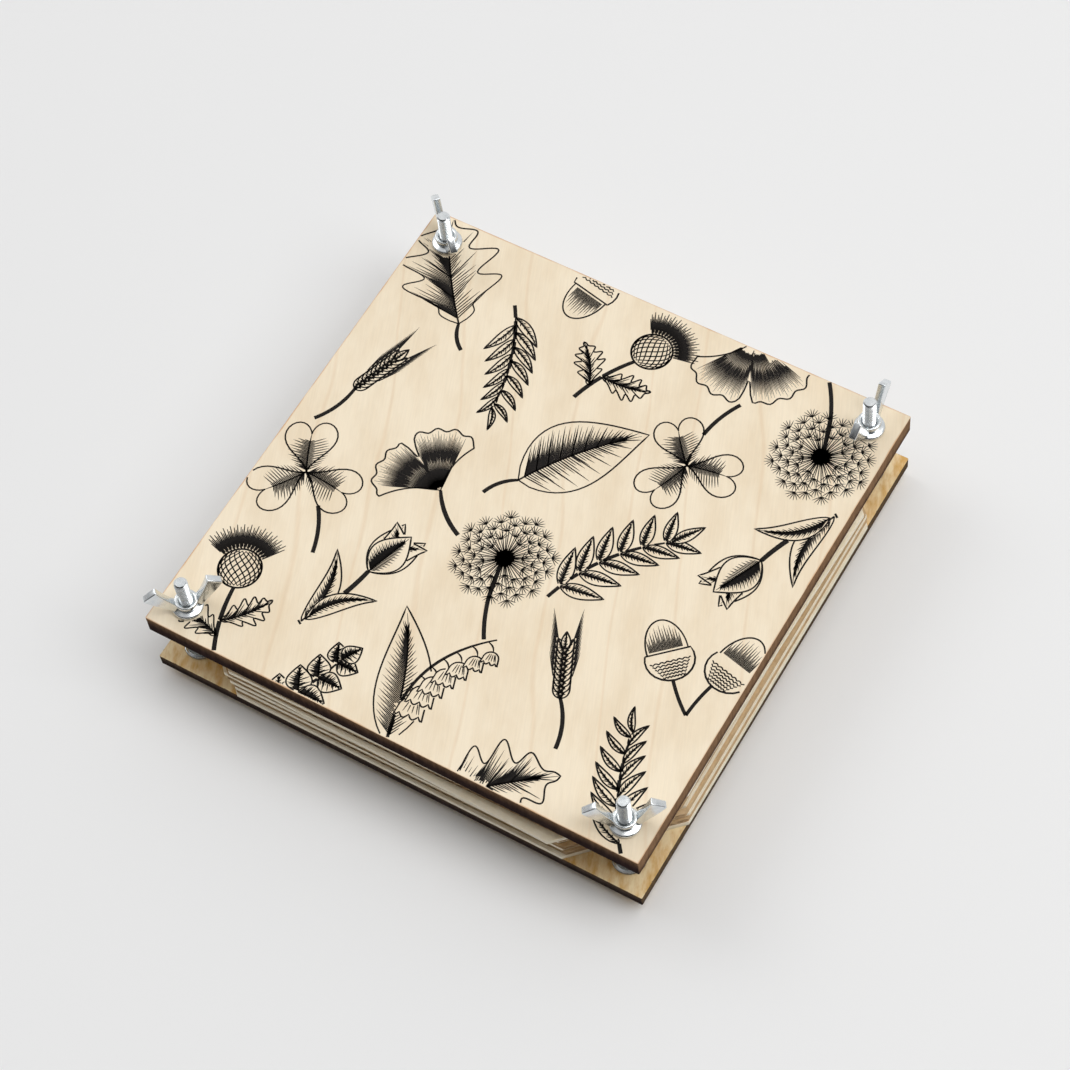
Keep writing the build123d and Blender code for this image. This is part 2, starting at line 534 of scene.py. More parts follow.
    def scorched_edge(self, tree: NodeTree, place: NodeSocket, rightward: NodeSocket) -> NodeSocket:
        """Colour the cut edge by height, from charred at the bottom to scorched at the top, with streaks.
        Faces that look towards +X start higher on that scale, which paints the side lamp's light onto them.

        Args:
            tree: the node tree.
            place: the Object coordinates.
            rightward: how far the face looks towards +X, which sets how much painted light it gets.

        Returns:
            The colour.
        """
        height = add_node(tree, "ShaderNodeSeparateXYZ", inputs={0: place}).outputs["Z"]
        upright = add_node(tree, "ShaderNodeMapping", inputs={
            "Vector": place, "Scale": (1, 1, self.scorch_squeeze)}).outputs["Vector"]
        streaks = add_node(tree, "ShaderNodeTexNoise", inputs={
            "Vector": upright, "Scale": per_mm(self.scorch_size), "Detail": 4.0, "Roughness": 0.65})
        rise = add_node(tree, "ShaderNodeMapRange", {"clamp": False}, {
            "Value": height, "From Min": self.floor * MM, "From Max": (self.floor + self.thickness) * MM})
        ragged = add_node(tree, "ShaderNodeMath", {"operation": "MULTIPLY_ADD"}, {
            0: streaks.outputs["Fac"], 1: self.scorch_raggedness, 2: rise.outputs["Result"]})
        # painted light: faces towards +X are moved up the scale, so they come out paler
        painted_light_level = add_node(tree, "ShaderNodeMath", {"operation": "MULTIPLY_ADD"}, {
            0: rightward, 1: self.right_edge_painted_light, 2: ragged.outputs[0]})
        level = add_node(tree, "ShaderNodeMath", {"operation": "SUBTRACT"}, {
            0: painted_light_level.outputs[0], 1: self.scorch_raggedness / 2})
        char = add_node(tree, "ShaderNodeValToRGB", inputs={"Fac": level.outputs[0]}, stops=self.edge_stops)
        depth = add_node(tree, "ShaderNodeMapRange", inputs={
            "Value": streaks.outputs["Fac"], "From Min": NOISE_LOW, "From Max": NOISE_HIGH,
            "To Min": self.scorch_streaks[0], "To Max": self.scorch_streaks[1]})
        streaked = add_node(tree, "ShaderNodeVectorMath", {"operation": "SCALE"}, {
            0: char.outputs["Color"], "Scale": depth.outputs["Result"]})
        return streaked.outputs["Vector"]


@dataclass(frozen=True)
class Pulp:
    """Paper or board of loose pulp: matte, with soft clouds of fibre and small specks."""

    name: str
    pale: str
    deep: str
    cloud_size: float
    fibre_size: float
    cloud_span: tuple[float, float] = (0.32, 0.62)  # of the noise, from deep to pale
    roughness: float = 0.92
    gloss: float = 0.2
    fibre_bump: float = 0.4
    fibre_depth: float = 0.08

    def material(self) -> Material:
        """A dull sheet with clouded colour and a felted surface.

        Returns:
            The material.
        """
        material, tree, shader = new_material(
            self.name, Roughness=self.roughness, Specular_IOR_Level=self.gloss)
        place = add_node(tree, "ShaderNodeTexCoord").outputs["Object"]
        clouds = add_node(tree, "ShaderNodeTexNoise", inputs={
            "Vector": place, "Scale": per_mm(self.cloud_size), "Detail": 5.0, "Roughness": 0.7})
        fibres = add_node(tree, "ShaderNodeTexNoise", inputs={
            "Vector": place, "Scale": per_mm(self.fibre_size), "Detail": 4.0})
        colour = add_node(tree, "ShaderNodeValToRGB", inputs={"Fac": clouds.outputs["Fac"]},
                          stops=zip(self.cloud_span, (self.deep, self.pale)))
        bump = add_node(tree, "ShaderNodeBump", inputs={
            "Strength": self.fibre_bump, "Distance": self.fibre_depth * MM, "Height": fibres.outputs["Fac"]})
        tree.links.new(colour.outputs["Color"], shader.inputs["Base Color"])
        tree.links.new(bump.outputs["Normal"], shader.inputs["Normal"])
        return material


@dataclass(frozen=True)
class PrintingInk:
    """Black ink soaked into bare wood: nearly black, dull, with the grain showing as paler flecks."""

    dark: str = "14110F"
    worn: str = "2E2722"
    fleck_size: float = 0.4
    fleck_span: tuple[float, float] = (0.5, 0.75)  # of the noise, from dark to worn
    roughness: float = 0.75
    gloss: float = 0.2

    def material(self) -> Material:
        """A dull black that thins out in flecks.

        Returns:
            The material.
        """
        material, tree, shader = new_material(
            "black_printing_ink", Roughness=self.roughness, Specular_IOR_Level=self.gloss)
        place = add_node(tree, "ShaderNodeTexCoord").outputs["Object"]
        flecks = add_node(tree, "ShaderNodeTexNoise", inputs={
            "Vector": place, "Scale": per_mm(self.fleck_size), "Detail": 2.0})
        colour = add_node(tree, "ShaderNodeValToRGB", inputs={"Fac": flecks.outputs["Fac"]},
                          stops=zip(self.fleck_span, (self.dark, self.worn)))
        tree.links.new(colour.outputs["Color"], shader.inputs["Base Color"])
        return material


# Hardware


@dataclass
class Bolt:
    """A hexagon bolt with its thread cut along the whole shank."""

    number: int
    thread_pitch: float = 0.7
    thread_depth: float = 0.42
    crest_share: float = 0.125  # of the pitch
    root_share: float = 0.25
    crest_radius: float = 1.95
    end_chamfer: float = 0.5
    head_height: float = 2.8
    columns: int = 36

    def head(self, flats: float) -> Surface:
        """Rows from the chamfered face up the hexagon.

        Args:
            flats: the width across the flats.

        Returns:
            The head, closed at both faces.
        """
        hexes = hexagon(flats, self.columns)
        depths, cone = chamfer(hexes)
        centre = np.zeros((1, self.columns))
        radii = np.vstack([centre, cone, hexes[None], centre])
        return polar_surface(radii, np.concatenate([[0], depths, [self.head_height] * 2]))

    def shank(self, length: float) -> Surface:
        """A thread's profile carried up a helix: each row climbs by one pitch round the axis, so that its
        last point meets the first point of the row one turn higher. Both ends are cut off level.

        Args:
            length: from under the head to the end of the bolt.

        Returns:
            The shank, with its foot inside the head.
        """
        foot = self.head_height / 2
        half_crest, half_root = self.crest_share / 2, self.root_share / 2
        corners = np.array([-half_crest, half_crest, 0.5 - half_root, 0.5 + half_root])
        turns = np.arange(-1, round(length / self.thread_pitch) + 1)
        climb = (turns[:, None] + corners).reshape(-1, 1) * self.thread_pitch
        cut = np.tile([0, 0, self.thread_depth, self.thread_depth], len(turns))[:, None]
        share = np.linspace(0, 1, self.columns + 1)
        heights = np.clip(foot + climb + share * self.thread_pitch, foot, length)
        cone = self.crest_radius - np.maximum(0, heights - (length - self.end_chamfer))
        radii = np.minimum(self.crest_radius - cut, cone)
        angles = FULL_TURN * share
        points = np.stack([radii * np.cos(angles), radii * np.sin(angles), heights], axis=-1)
        ends = points[[0, -1]] * (0, 0, 1)
        return Surface.grid(np.concatenate([ends[:1], points, ends[1:]]), closed=False)

    def build(self, zinc: Material) -> None:
        """Make the bolt in place of its CAD node.

        Args:
            zinc: its finish.
        """
        node = f"bolt_{self.number}"
        _, flats, length = node_size(node)
        shape = Surface.join([self.head(flats), self.shank(length)]).placed(mid_place(node))
        make_piece(f"threaded_{node}", shape, zinc, Body.BASE.value, [node])


@dataclass
class FlangeNut:
    """A hexagon nut on a round flange with a rounded rim, chamfered at the top."""

    number: int
    flats: float = 7.0
    bore_radius: float = 2.0
    rim_height: float = 0.6
    slope_rise: float = 0.7
    countersink: float = 0.3
    columns: int = 72

    def surface(self, flange: float, height: float) -> Surface:
        """Rows from the bore out along the seat, round the rim, up the slope and the hexagon, and back.

        Args:
            flange: the flange's diameter.
            height: the nut's height.

        Returns:
            The skin, closed through the bore.
        """
        hexes = hexagon(self.flats, self.columns)
        depths, cone = chamfer(hexes)
        slope_top = self.rim_height + self.slope_rise
        rim = bead(flange / 2, self.rim_height)
        below = np.array([(self.bore_radius, 0), *rim, (hexes.max(), slope_top)])
        above = np.array([(self.bore_radius + self.countersink, height),
                          (self.bore_radius, height - self.countersink), (self.bore_radius, 0)])
        radii = np.vstack([
            np.repeat(below[:, :1], self.columns, axis=1),
            hexes[None],
            cone[::-1],
            np.repeat(above[:, :1], self.columns, axis=1),
        ])
        heights = np.concatenate([below[:, 1], [slope_top], height - depths[::-1], above[:, 1]])
        return polar_surface(radii, heights)

    def build(self, zinc: Material) -> None:
        """Make the nut in place of its CAD node.

        Args:
            zinc: its finish.
        """
        node = f"flange_nut_{self.number}"
        flange, _, height = node_size(node)
        shape = self.surface(flange, height).placed(mid_place(node))
        make_piece(f"formed_{node}", shape, zinc, Body.BASE.value, [node])


@dataclass
class WingNut:
    """A cast wing nut: a waisted hub with a ring on top, and two flared wings with rounded edges."""

    number: int
    heading: float
    bore_radius: float = 2.0
    countersink: float = 0.4
    hub_height: float = 4.0
    base_radius: float = 4.5
    rim_height: float = 1.2
    waist_radius: float = 3.1
    waist_floor: float = 1.5
    ring_radius: float = 3.35
    ring_floor: float = 2.6
    ring_rounding: float = 0.4
    half_span: float = 11.1
    wing_height: float = 12.2
    half_thickness: float = 1.1
    root_depth: float = 0.6  # how far the wing reaches into the hub
    root_swell: float = 0.35
    swell_length: float = 1.2
    edge_rounding: float = 0.32
    rounding_share: float = 0.95  # the rounding at the most, of half the width or thickness
    edge_bow: float = 0.3
    bow_direction: tuple[float, float] = (0.8, -0.6)
    inner_tip_share: float = 0.64
    outer_tip_share: float = 0.77
    hub_columns: int = 64
    stations: int = 24
    section_points: int = 24

    def hub(self) -> Surface:
        """A turned profile: a round bead, a groove at the waist, a flare of waist + t^2 (ring - waist) up to
        the ring, and the ring's rounded top.

        Returns:
            The hub, closed through the bore.
        """
        rise = np.linspace(0, 1, 8)
        waist = np.stack([self.waist_radius + (self.ring_radius - self.waist_radius) * rise ** 2,
                          self.waist_floor + (self.ring_floor - self.waist_floor) * rise], axis=1)
        quarter = rise * math.pi / 2
        ring_middle = np.array([self.ring_radius, self.hub_height]) - self.ring_rounding
        ring_edge = ring_middle + self.ring_rounding * np.stack([np.cos(quarter), np.sin(quarter)], axis=1)
        bore = [(self.bore_radius + self.countersink, self.hub_height),
                (self.bore_radius, self.hub_height - self.countersink), (self.bore_radius, 0)]
        base = bead(self.base_radius, self.rim_height)
        return turned([(self.bore_radius, 0), *base, *waist, *ring_edge, *bore], self.hub_columns)

    def edges(self, reach: np.ndarray) -> tuple[np.ndarray, np.ndarray]:
        """The wing's edges in the upright plane: lines from root to tip, each bowed by 4 t (1 - t).

        Args:
            reach: shares t of the way from the hub to the tip.

        Returns:
            The inner edge's points and the outer edge's.
        """
        bow = (self.edge_bow * 4 * reach * (1 - reach))[:, None] * self.bow_direction
        inner_root = np.array([self.bore_radius, self.hub_height]) + (self.root_depth, -self.root_depth)
        outer_root = np.array([self.base_radius - self.root_depth, self.rim_height])
        inner_tip = np.array([self.inner_tip_share * self.half_span, self.wing_height])
        outer_tip = np.array([self.half_span, self.outer_tip_share * self.wing_height])
        inner = inner_root + (inner_tip - inner_root) * reach[:, None] + bow
        outer = outer_root + (outer_tip - outer_root) * reach[:, None] + bow
        return inner, outer

    def section(self, wide: np.ndarray, thick: np.ndarray) -> tuple[np.ndarray, np.ndarray]:
        """Rounded rectangles: each corner's arc about a point set in from both half sizes.

        Args:
            wide: half the width at each station.
            thick: half the thickness at each station.

        Returns:
            The points' two coordinates, by station.
        """
        angles = (np.arange(self.section_points) + 0.5) * FULL_TURN / self.section_points
        largest = self.rounding_share * np.minimum(wide, thick)
        rounding = np.minimum(self.edge_rounding, largest)[:, None]
        flat_x = np.sign(np.cos(angles)) * (wide[:, None] - rounding) + rounding * np.cos(angles)
        flat_y = np.sign(np.sin(angles)) * (thick[:, None] - rounding) + rounding * np.sin(angles)
        return flat_x, flat_y

    def wing(self, side: int) -> Surface:
        """A rounded rectangle carried from the hub to the tip, between the wing's inner and outer edges.
        Near the tip it shrinks by r - sqrt(r^2 - (r - d)^2), where d is the distance left and r the rounding,
        and its end is crowned by bow (1 - u^2) t^6, where u is the share of the half width.

        Args:
            side: 1 or -1, the side of the hub.

        Returns:
            The wing, with its root inside the hub.
        """
        reach = 1 - (1 - np.linspace(0, 1, self.stations)) ** 2
        inner, outer = self.edges(reach)
        middle = (inner + outer) / 2
        across = (outer - inner) / 2
        half_width = np.linalg.norm(across, axis=1)
        length = np.linalg.norm(middle[-1] - middle[0])
        left = np.minimum((1 - reach) * length, self.edge_rounding)
        shrink = self.edge_rounding - np.sqrt(self.edge_rounding ** 2 - (self.edge_rounding - left) ** 2)
        swell = self.root_swell * np.exp(-reach * length / self.swell_length)
        flat_x, flat_y = self.section(half_width - shrink, self.half_thickness + swell - shrink)
        run = across / half_width[:, None]
        crown = self.edge_bow * (1 - (flat_x / half_width[:, None]) ** 2) * reach[:, None] ** 6
        along = middle[:, None, 0] + flat_x * run[:, None, 0]
        upward = middle[:, None, 1] + flat_x * run[:, None, 1] + crown
        points = np.stack([side * along, flat_y, upward], axis=-1)
        ends = np.broadcast_to(points[[0, -1]].mean(axis=1, keepdims=True), (2, *points.shape[1:]))
        return Surface.grid(np.concatenate([ends[:1], points, ends[1:]]), closed=True)

    def build(self, zinc: Material) -> None:
        """Make the nut in place of its CAD node.

        Args:
            zinc: its finish.
        """
        node = f"wing_nut_{self.number}"
        axis_x, axis_y, _ = mid_place(f"bolt_{self.number}")
        _, _, seat = mid_place(node)
        shape = Surface.join([self.hub(), self.wing(1), self.wing(-1)])
        shape = shape.placed((axis_x, axis_y, seat), self.heading)
        make_piece(f"cast_{node}", shape, zinc, node, [node], sharp_above=50.0)


@dataclass
class Hardware:
    """The bolts, washers and nuts at the four corners."""

    wing_headings: tuple[float, ...] = (45.0, 33.0, 90.0, 137.0)
    plate: ZincPlate = ZincPlate()
    # painted shade: a darker copy of the zinc plate for the flange nuts, which sit in the shade under the top
    # board
    shade_darkened_plate: ZincPlate = ZincPlate("shade_darkened_zinc_plate", "B4B8B9", "A2A7AA")

    def build(self) -> None:
        """Make each corner's pieces: the flange nuts in a darker plate than the rest, which paints in the
        shade that falls on them under the top board.
        """
        zinc = self.plate.material()
        shade_darkened_zinc = self.shade_darkened_plate.material()
        dress_node("washers", zinc)
        for corner, heading in zip(CORNERS, self.wing_headings):
            Bolt(corner).build(zinc)
            FlangeNut(corner).build(shade_darkened_zinc)
            WingNut(corner, heading).build(zinc)


# Boards


@dataclass
class Boards:
    """The two plywood boards, which keep their CAD shapes."""

    top_edge: tuple[tuple[float, str], ...] = (
        (0.0, "332928"), (0.4, "3C2E2B"), (0.75, "634D3E"), (1.0, "8A6C52"))
    bottom_edge: tuple[tuple[float, str], ...] = (
        (0.0, "332A29"), (0.4, "3C312D"), (0.7, "544740"), (1.0, "64523F"))

    def dress(self, node: str, **finish: object) -> None:
        """Dress a board in plywood, with its height and width taken from the node.

        Args:
            node: the board's CAD node.
            finish: the plywood's colours and patterns.
        """
        low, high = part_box(node)
        plywood = BirchPlywood(
            name=f"birch_plywood_{node}", floor=low.z / MM, thickness=(high.z - low.z) / MM,
            half_side=high.x / MM, **finish)
        dress_node(node, plywood.material())

    def build(self) -> None:
        """Dress both boards: the bottom one is darker, mottled, and scorched in small spots at the edge."""
        self.dress("top_board", veneer_pale="F4E5CB", veneer_deep="ECDABD", growth_line="D9B488",
                   smoke="C98F57", edge_stops=self.top_edge)
        self.dress("bottom_board", veneer_pale="F5E0B6", veneer_deep="D4A75E", growth_line="C8924F",
                   smoke="5E3A20", edge_stops=self.bottom_edge, blotch_size=3.0, growth_share=0.15,
                   smoke_size=1.3, smoke_reach=-0.1, smoke_fade=0.15, smoke_unevenness=1.5)


# Sheets


@dataclass
class Sheet:
    """The outline of an octagonal sheet: a square whose corners are clipped to clear the bolts."""

    setback: float
    board_side: float = 155.0
    bolt_inset: float = 8.6
    corner_gap: float = 6.2

    def stations(self, count: int = 3) -> tuple[np.ndarray, np.ndarray]:
        """Places across the sheet, and half its length at each: less by the clip near the sides.

        Args:
            count: how many evenly spaced places to add to the clip's ends. Three do for a flat sheet.

        Returns:
            The places and the half lengths.
        """
        half = self.board_side / 2 - self.setback
        clip = 2 * (self.bolt_inset - self.setback) + math.sqrt(2) * self.corner_gap
        across = np.union1d(np.linspace(-half, half, count), [clip - half, half - clip])
        return across, half - np.maximum(0, np.abs(across) - (half - clip))


def slab(across: np.ndarray, half_length: np.ndarray, low: np.ndarray, high: np.ndarray) -> Surface:
    """A layer between two heights that change across a sheet: a loop of four points at each place.

    Args:
        across: the places across the sheet.
        half_length: half the layer's length at each place.
        low: its lower height at each place.
        high: its upper height at each place.

    Returns:
        The layer's skin, closed at both sides.
    """
    ends = np.stack([-half_length, half_length, half_length, -half_length], axis=1)
    heights = np.stack([low, low, high, high], axis=1)
    loops = np.stack([np.repeat(across[:, None], 4, axis=1), ends, heights], axis=-1)
    skin = Surface.grid(loops, closed=True)
    last = len(skin.points) - 4
    caps = np.array([[3, 2, 1, 0], [last, last + 1, last + 2, last + 3]])
    return Surface(skin.points, np.concatenate([skin.quads, caps]))


@dataclass
class Stack:
    """The leaves between the boards: each is a pair of blotters under a corrugated card."""

    blotter_setback: float = 0.5
    card_setback: float = 1.0
    blotter_turns: tuple[float, ...] = (0.1, 0.4, 0.6, -1.1, 0.9)  # leaf by leaf, in degrees
    card_turns: tuple[float, ...] = (0.4, 0.3, 0.4, 0.9, 0.5)
    liner: float = 0.22
    flute_wall: float = 0.22
    flute_pitch: float = 3.24
    points_per_flute: int = 10
    blotting: Pulp = Pulp("blotting_paper_pulp", "FAF2DE", "F0E5CB", 4.0, 0.3)
    kraft: Pulp = Pulp("kraft_card_pulp", "D0B590", "BE9F78", 3.0, 0.25)

    def blotter(self, number: int, turn: float, paper: Material) -> None:
        """Make one blotter: a flat slab.

        Args:
            number: the blotter's number from the bottom.
            turn: its turn in degrees.
            paper: its finish.
        """
        node = f"blotter_{number}"
        _, _, thickness = node_size(node)
        across, half_length = Sheet(self.blotter_setback).stations()
        flat = np.zeros_like(across)
        layer = slab(across, half_length, flat, flat + thickness).placed(mid_place(node), turn)
        make_piece(f"cut_{node}", layer, paper, Body.BASE.value, [node])

    def card(self, number: int, turn: float, kraft: Material) -> None:
        """Make one card: two flat liners, and between them a wall whose height is a cosine of the place.

        Args:
            number: the card's number from the bottom.
            turn: its turn in degrees.
            kraft: its finish.
        """
        node = f"card_{number}"
        _, _, thickness = node_size(node)
        sheet = Sheet(self.card_setback)
        across, half_length = sheet.stations()
        flat = np.zeros_like(across)
        lower = slab(across, half_length, flat, flat + self.liner)
        upper = slab(across, half_length, flat + thickness - self.liner, flat + thickness)
        flutes = round((sheet.board_side - 2 * self.card_setback) / self.flute_pitch)
        across, half_length = sheet.stations(flutes * self.points_per_flute + 1)
        swing = (thickness - 2 * self.liner - self.flute_wall) / 2
        wave = self.liner + swing * (1 - np.cos(FULL_TURN * across / self.flute_pitch))
        fluted = slab(across, half_length, wave, wave + self.flute_wall)
        layers = Surface.join([lower, fluted, upper]).placed(mid_place(node), turn)
        make_piece(f"fluted_{node}", layers, kraft, Body.BASE.value, [node])

    def build(self) -> None:
        """Make the leaves from the bottom up."""
        paper = self.blotting.material()
        kraft = self.kraft.material()
        for leaf, (blotter_turn, card_turn) in enumerate(zip(self.blotter_turns, self.card_turns)):
            self.blotter(2 * leaf + 1, blotter_turn, paper)
            self.blotter(2 * leaf + 2, blotter_turn, paper)
            self.card(leaf + 1, card_turn, kraft)


# Print


def bowed(start: Sequence[float], end: Sequence[float], bow: float, count: int = 120) -> np.ndarray:
    """A line between two points that bows to its left: start + t (end - start) + 4 t (1 - t) bow.

    Args:
        start: the first point.
        end: the last point.
        bow: how far the middle stands off, in millimetres.
        count: how many points it gets: many on a stem, so that it runs right up to a shape over it.

    Returns:
        The points in order.
    """
    share = np.linspace(0, 1, count)[:, None]
    run = np.subtract(end, start)
    side = np.array([-run[1], run[0]]) / np.linalg.norm(run)
    return np.asarray(start) + share * run + 4 * share * (1 - share) * bow * side


def straight(starts: np.ndarray, ends: np.ndarray, count: int = 6) -> np.ndarray:
    """A line of evenly spaced points from each start to its end."""
    share = np.linspace(0, 1, count)[:, None]
    return starts[:, None] + share * (ends - starts)[:, None]


def at_share(line: np.ndarray, share: float) -> np.ndarray:
    """The point of a line at a share of the way along it."""
    return line[round(share * (len(line) - 1))]


def away(heading: np.ndarray | float, distance: np.ndarray | float) -> np.ndarray:
    """Steps of a distance towards a heading in degrees."""
    angle = np.radians(heading)
    return np.stack([np.cos(angle) * distance, np.sin(angle) * distance], axis=-1)


def spun(points: np.ndarray, turn: float) -> np.ndarray:
    """Flat points turned about the origin by degrees."""
    return points @ np.array(Matrix.Rotation(math.radians(turn), 2)).T


def ring(across: float, along: float, count: int = 120) -> np.ndarray:
    """An ellipse about the origin, from its two half sizes."""
    return away(np.linspace(0, 360, count, endpoint=False), 1.0) * (across, along)


def inside(points: np.ndarray, outline: np.ndarray) -> np.ndarray:
    """Which points lie in an outline: a level ray to the right crosses it an odd number of times.

    Args:
        points: any array of points.
        outline: the corners in order.

    Returns:
        A mask over the points.
    """
    x, y = points[..., 0, None], points[..., 1, None]
    start_x, start_y = outline.T
    end_x, end_y = np.roll(outline, -1, axis=0).T
    spans = (start_y > y) != (end_y > y)
    rise = np.where(end_y == start_y, 1.0, end_y - start_y)
    crossing = start_x + (end_x - start_x) * (y - start_y) / rise
    return (spans & (x < crossing)).sum(axis=-1) % 2 == 1


@dataclass(frozen=True)
class Stalk:
    """The sizes of a drawn stalk or stem."""

    top: tuple[float, float]
    bow: float
    weight: float = 2.4  # in pens, at the middle and the foot
    taper: float = 0.8  # the share of the weight at the top
    foot: tuple[float, float] = (0.0, 0.0)


@dataclass(frozen=True)
class Leaf:
    """The sizes of a drawn leaf, petal or grain."""

    length: float
    width: float
    fullness: float = 0.75  # below 1, the widest place lies nearer the base
    bow: float = 0.0
    veins: int = 0  # on each side
    hatches: int = 10  # on the shaded side
    lobes: float = 0.0  # along each side
    lobe_depth: float = 0.0  # as a share of the width
    sweep: float = 0.0  # how far the edges lean towards the tip, as a share of their distance from the rib

    def scaled(self, share: float) -> "Leaf":
        """The same leaf at another size."""
        return replace(self, length=self.length * share, width=self.width * share)


@dataclass
class Drawing:
    """Pen strokes on a flat sheet, in millimetres. A later shape hides the strokes that it covers."""

    pen: float = 0.5
    rib_weight: float = 1.1  # in pens, like the weights below
    vein_weight: float = 0.7
    hatch_weight: float = 0.65
    vein_from: float = 0.05  # along the rib
    vein_to: float = 0.80
    vein_slant: float = 0.15  # how much further along the edge a vein points
    vein_reach: tuple[float, ...] = (0.92,)  # of the way to the edge, like the reaches below
    shaded_reach: tuple[float, ...] = (0.86, 0.54, 0.7, 0.44)
    lit_reach: tuple[float, ...] = (0.36, 0.54)
    leaf_points: int = 20
    lobed_points: int = 72
    lines: list[np.ndarray] = field(default_factory=list)
    widths: list[np.ndarray] = field(default_factory=list)
    shown: list[np.ndarray] = field(default_factory=list)

    def stroke(self, lines: np.ndarray, weight: float = 1.0, start: float = 0.4, end: float = 0.4) -> None:
        """Draw lines that are widest in the middle and ease off by the square of the way to an end.

        Args:
            lines: one line of points, or several of equal count.
            weight: the width in the middle, in pens.
            start: the share of that width at the first point.
            end: the share of that width at the last point.
        """
        lines = lines if lines.ndim == 3 else lines[None]
        way = np.linspace(-1, 1, lines.shape[1])
        ease = 1 - np.where(way < 0, 1 - start, 1 - end) * way ** 2
        self.lines.append(lines)
        self.widths.append(np.broadcast_to(weight * self.pen * ease, lines.shape[:2]))
        self.shown.append(np.ones(lines.shape[:2], bool))

    def stalk(self, stalk: Stalk) -> np.ndarray:
        """Draw a stalk.

        Args:
            stalk: its sizes.

        Returns:
            Its points from the foot up.
        """
        line = bowed(stalk.foot, stalk.top, stalk.bow)
        self.stroke(line, stalk.weight, start=1.0, end=stalk.taper)
        return line

    def shape(self, outline: np.ndarray, weight: float = 1.0) -> None:
        """Draw a closed outline that hides the strokes under it."""
        self.shown = [mask & ~inside(line, outline) for mask, line in zip(self.shown, self.lines)]
        self.stroke(np.concatenate([outline, outline[:1]]), weight, start=0.8, end=0.8)

    def leaf(self, base: Sequence[float], heading: float, leaf: Leaf) -> None:
        """Draw a leaf: a rib, edges that stand off it by half the width times sin(pi t^fullness), less at the
        bays between lobes, then slanting veins and hatching.

        Args:
            base: where it starts.
            heading: its direction in degrees.
            leaf: its sizes.
        """
        count = self.lobed_points if leaf.lobes else self.leaf_points
        way = np.linspace(0, 1, count)
        rib = bowed(base, base + away(heading, leaf.length), leaf.bow, count)
        bays = 1 - leaf.lobe_depth * np.sin(np.pi * leaf.lobes * way) ** 2
        stand = (leaf.width / 2 * np.sin(np.pi * way ** leaf.fullness) * bays)[:, None]
        lean = stand * leaf.sweep * away(heading, 1.0)
        left = rib + stand * away(heading + 90, 1.0) + lean
        right = rib - stand * away(heading + 90, 1.0) + lean
        self.shape(np.concatenate([left, right[-2:0:-1]]))
        self.stroke(rib[:-1], self.rib_weight, start=1.0, end=0.2)
        self.veins(rib, left, leaf.veins, self.vein_weight, self.vein_reach)
        self.veins(rib, right, leaf.veins, self.vein_weight, self.vein_reach)
        self.veins(rib, left, leaf.hatches, self.hatch_weight, self.shaded_reach)
        self.veins(rib, right, leaf.hatches // 2, self.hatch_weight, self.lit_reach)

    def veins(self, rib: np.ndarray, edge: np.ndarray, count: int, weight: float,
              reach: Sequence[float]) -> None:
        """Draw slanting lines from a rib towards an edge.

        Args:
            rib: the rib's points.
            edge: as many points along the edge.
            count: how many lines.
            weight: their width in pens.
            reach: the shares of the way to the edge that they go, by turns.
        """
        last = len(rib) - 1
        steps = np.arange(len(rib))
        starts = np.linspace(self.vein_from, self.vein_to, count) * last
        ends = starts + self.vein_slant * last
        roots = np.stack([np.interp(starts, steps, axis) for axis in rib.T], axis=1)
        tips = np.stack([np.interp(ends, steps, axis) for axis in edge.T], axis=1)
        tips = roots + (tips - roots) * np.resize(reach, count)[:, None]
        self.stroke(straight(roots, tips), weight, start=1.0, end=0.1)

    def place(self, art: "Drawing", middle: Sequence[float], turn: float, cell: Sequence[float],
              most: float) -> None:
        """Copy another drawing into a cell, turned, fitted to the cell and centred in it.

        Args:
            art: the drawing.
            middle: the cell's middle.
            turn: in degrees.
            cell: the cell's width and height.
            most: the largest scale.
        """
        lines = [spun(line, turn) for line in art.lines]
        every = np.concatenate([line.reshape(-1, 2) for line in lines])
        low, high = every.min(axis=0), every.max(axis=0)
        scale = min((np.array(cell) / (high - low)).min(), most)
        self.lines += [(line - (low + high) / 2) * scale + np.array(middle) for line in lines]
        self.widths += art.widths
        self.shown += art.shown

    def ribbons(self, height: float, allowed: Callable[[np.ndarray], np.ndarray]) -> Surface:
        """Lay every line down as a flat ribbon: each point moved half the width to both sides.

        Args:
            height: the level of the ribbons.
            allowed: tells which points may carry ink.

        Returns:
            The ribbons, without the stretches that are hidden or off the board.
        """
        parts = []
        for lines, widths, shown in zip(self.lines, self.widths, self.shown):
            run = np.gradient(lines, axis=1)
            run = run / np.maximum(np.linalg.norm(run, axis=-1, keepdims=True), 1e-9)
            side = np.stack([-run[..., 1], run[..., 0]], axis=-1) * widths[..., None] / 2
            pair = np.stack([lines - side, lines + side], axis=2)
            level = np.full(pair.shape[:3] + (1,), height)
            points = np.concatenate([pair, level], axis=-1).reshape(-1, 3)
            first = np.arange(lines.shape[0] * lines.shape[1]).reshape(lines.shape[:2]) * 2
            here, beyond = first[:, :-1], first[:, 1:]
            quads = np.stack([here, beyond, beyond + 1, here + 1], axis=-1)
            good = shown & allowed(lines)
            kept = quads[good[:, :-1] & good[:, 1:]]
            used, numbers = np.unique(kept, return_inverse=True)
            parts.append(Surface(points[used], numbers.reshape(kept.shape)))
        return Surface.join(parts)


# Plants of the print, each drawn from its stalk upwards


class Plant(Protocol):
    """A motif of the print."""

    def draw(self) -> Drawing:
        """Draw the plant."""


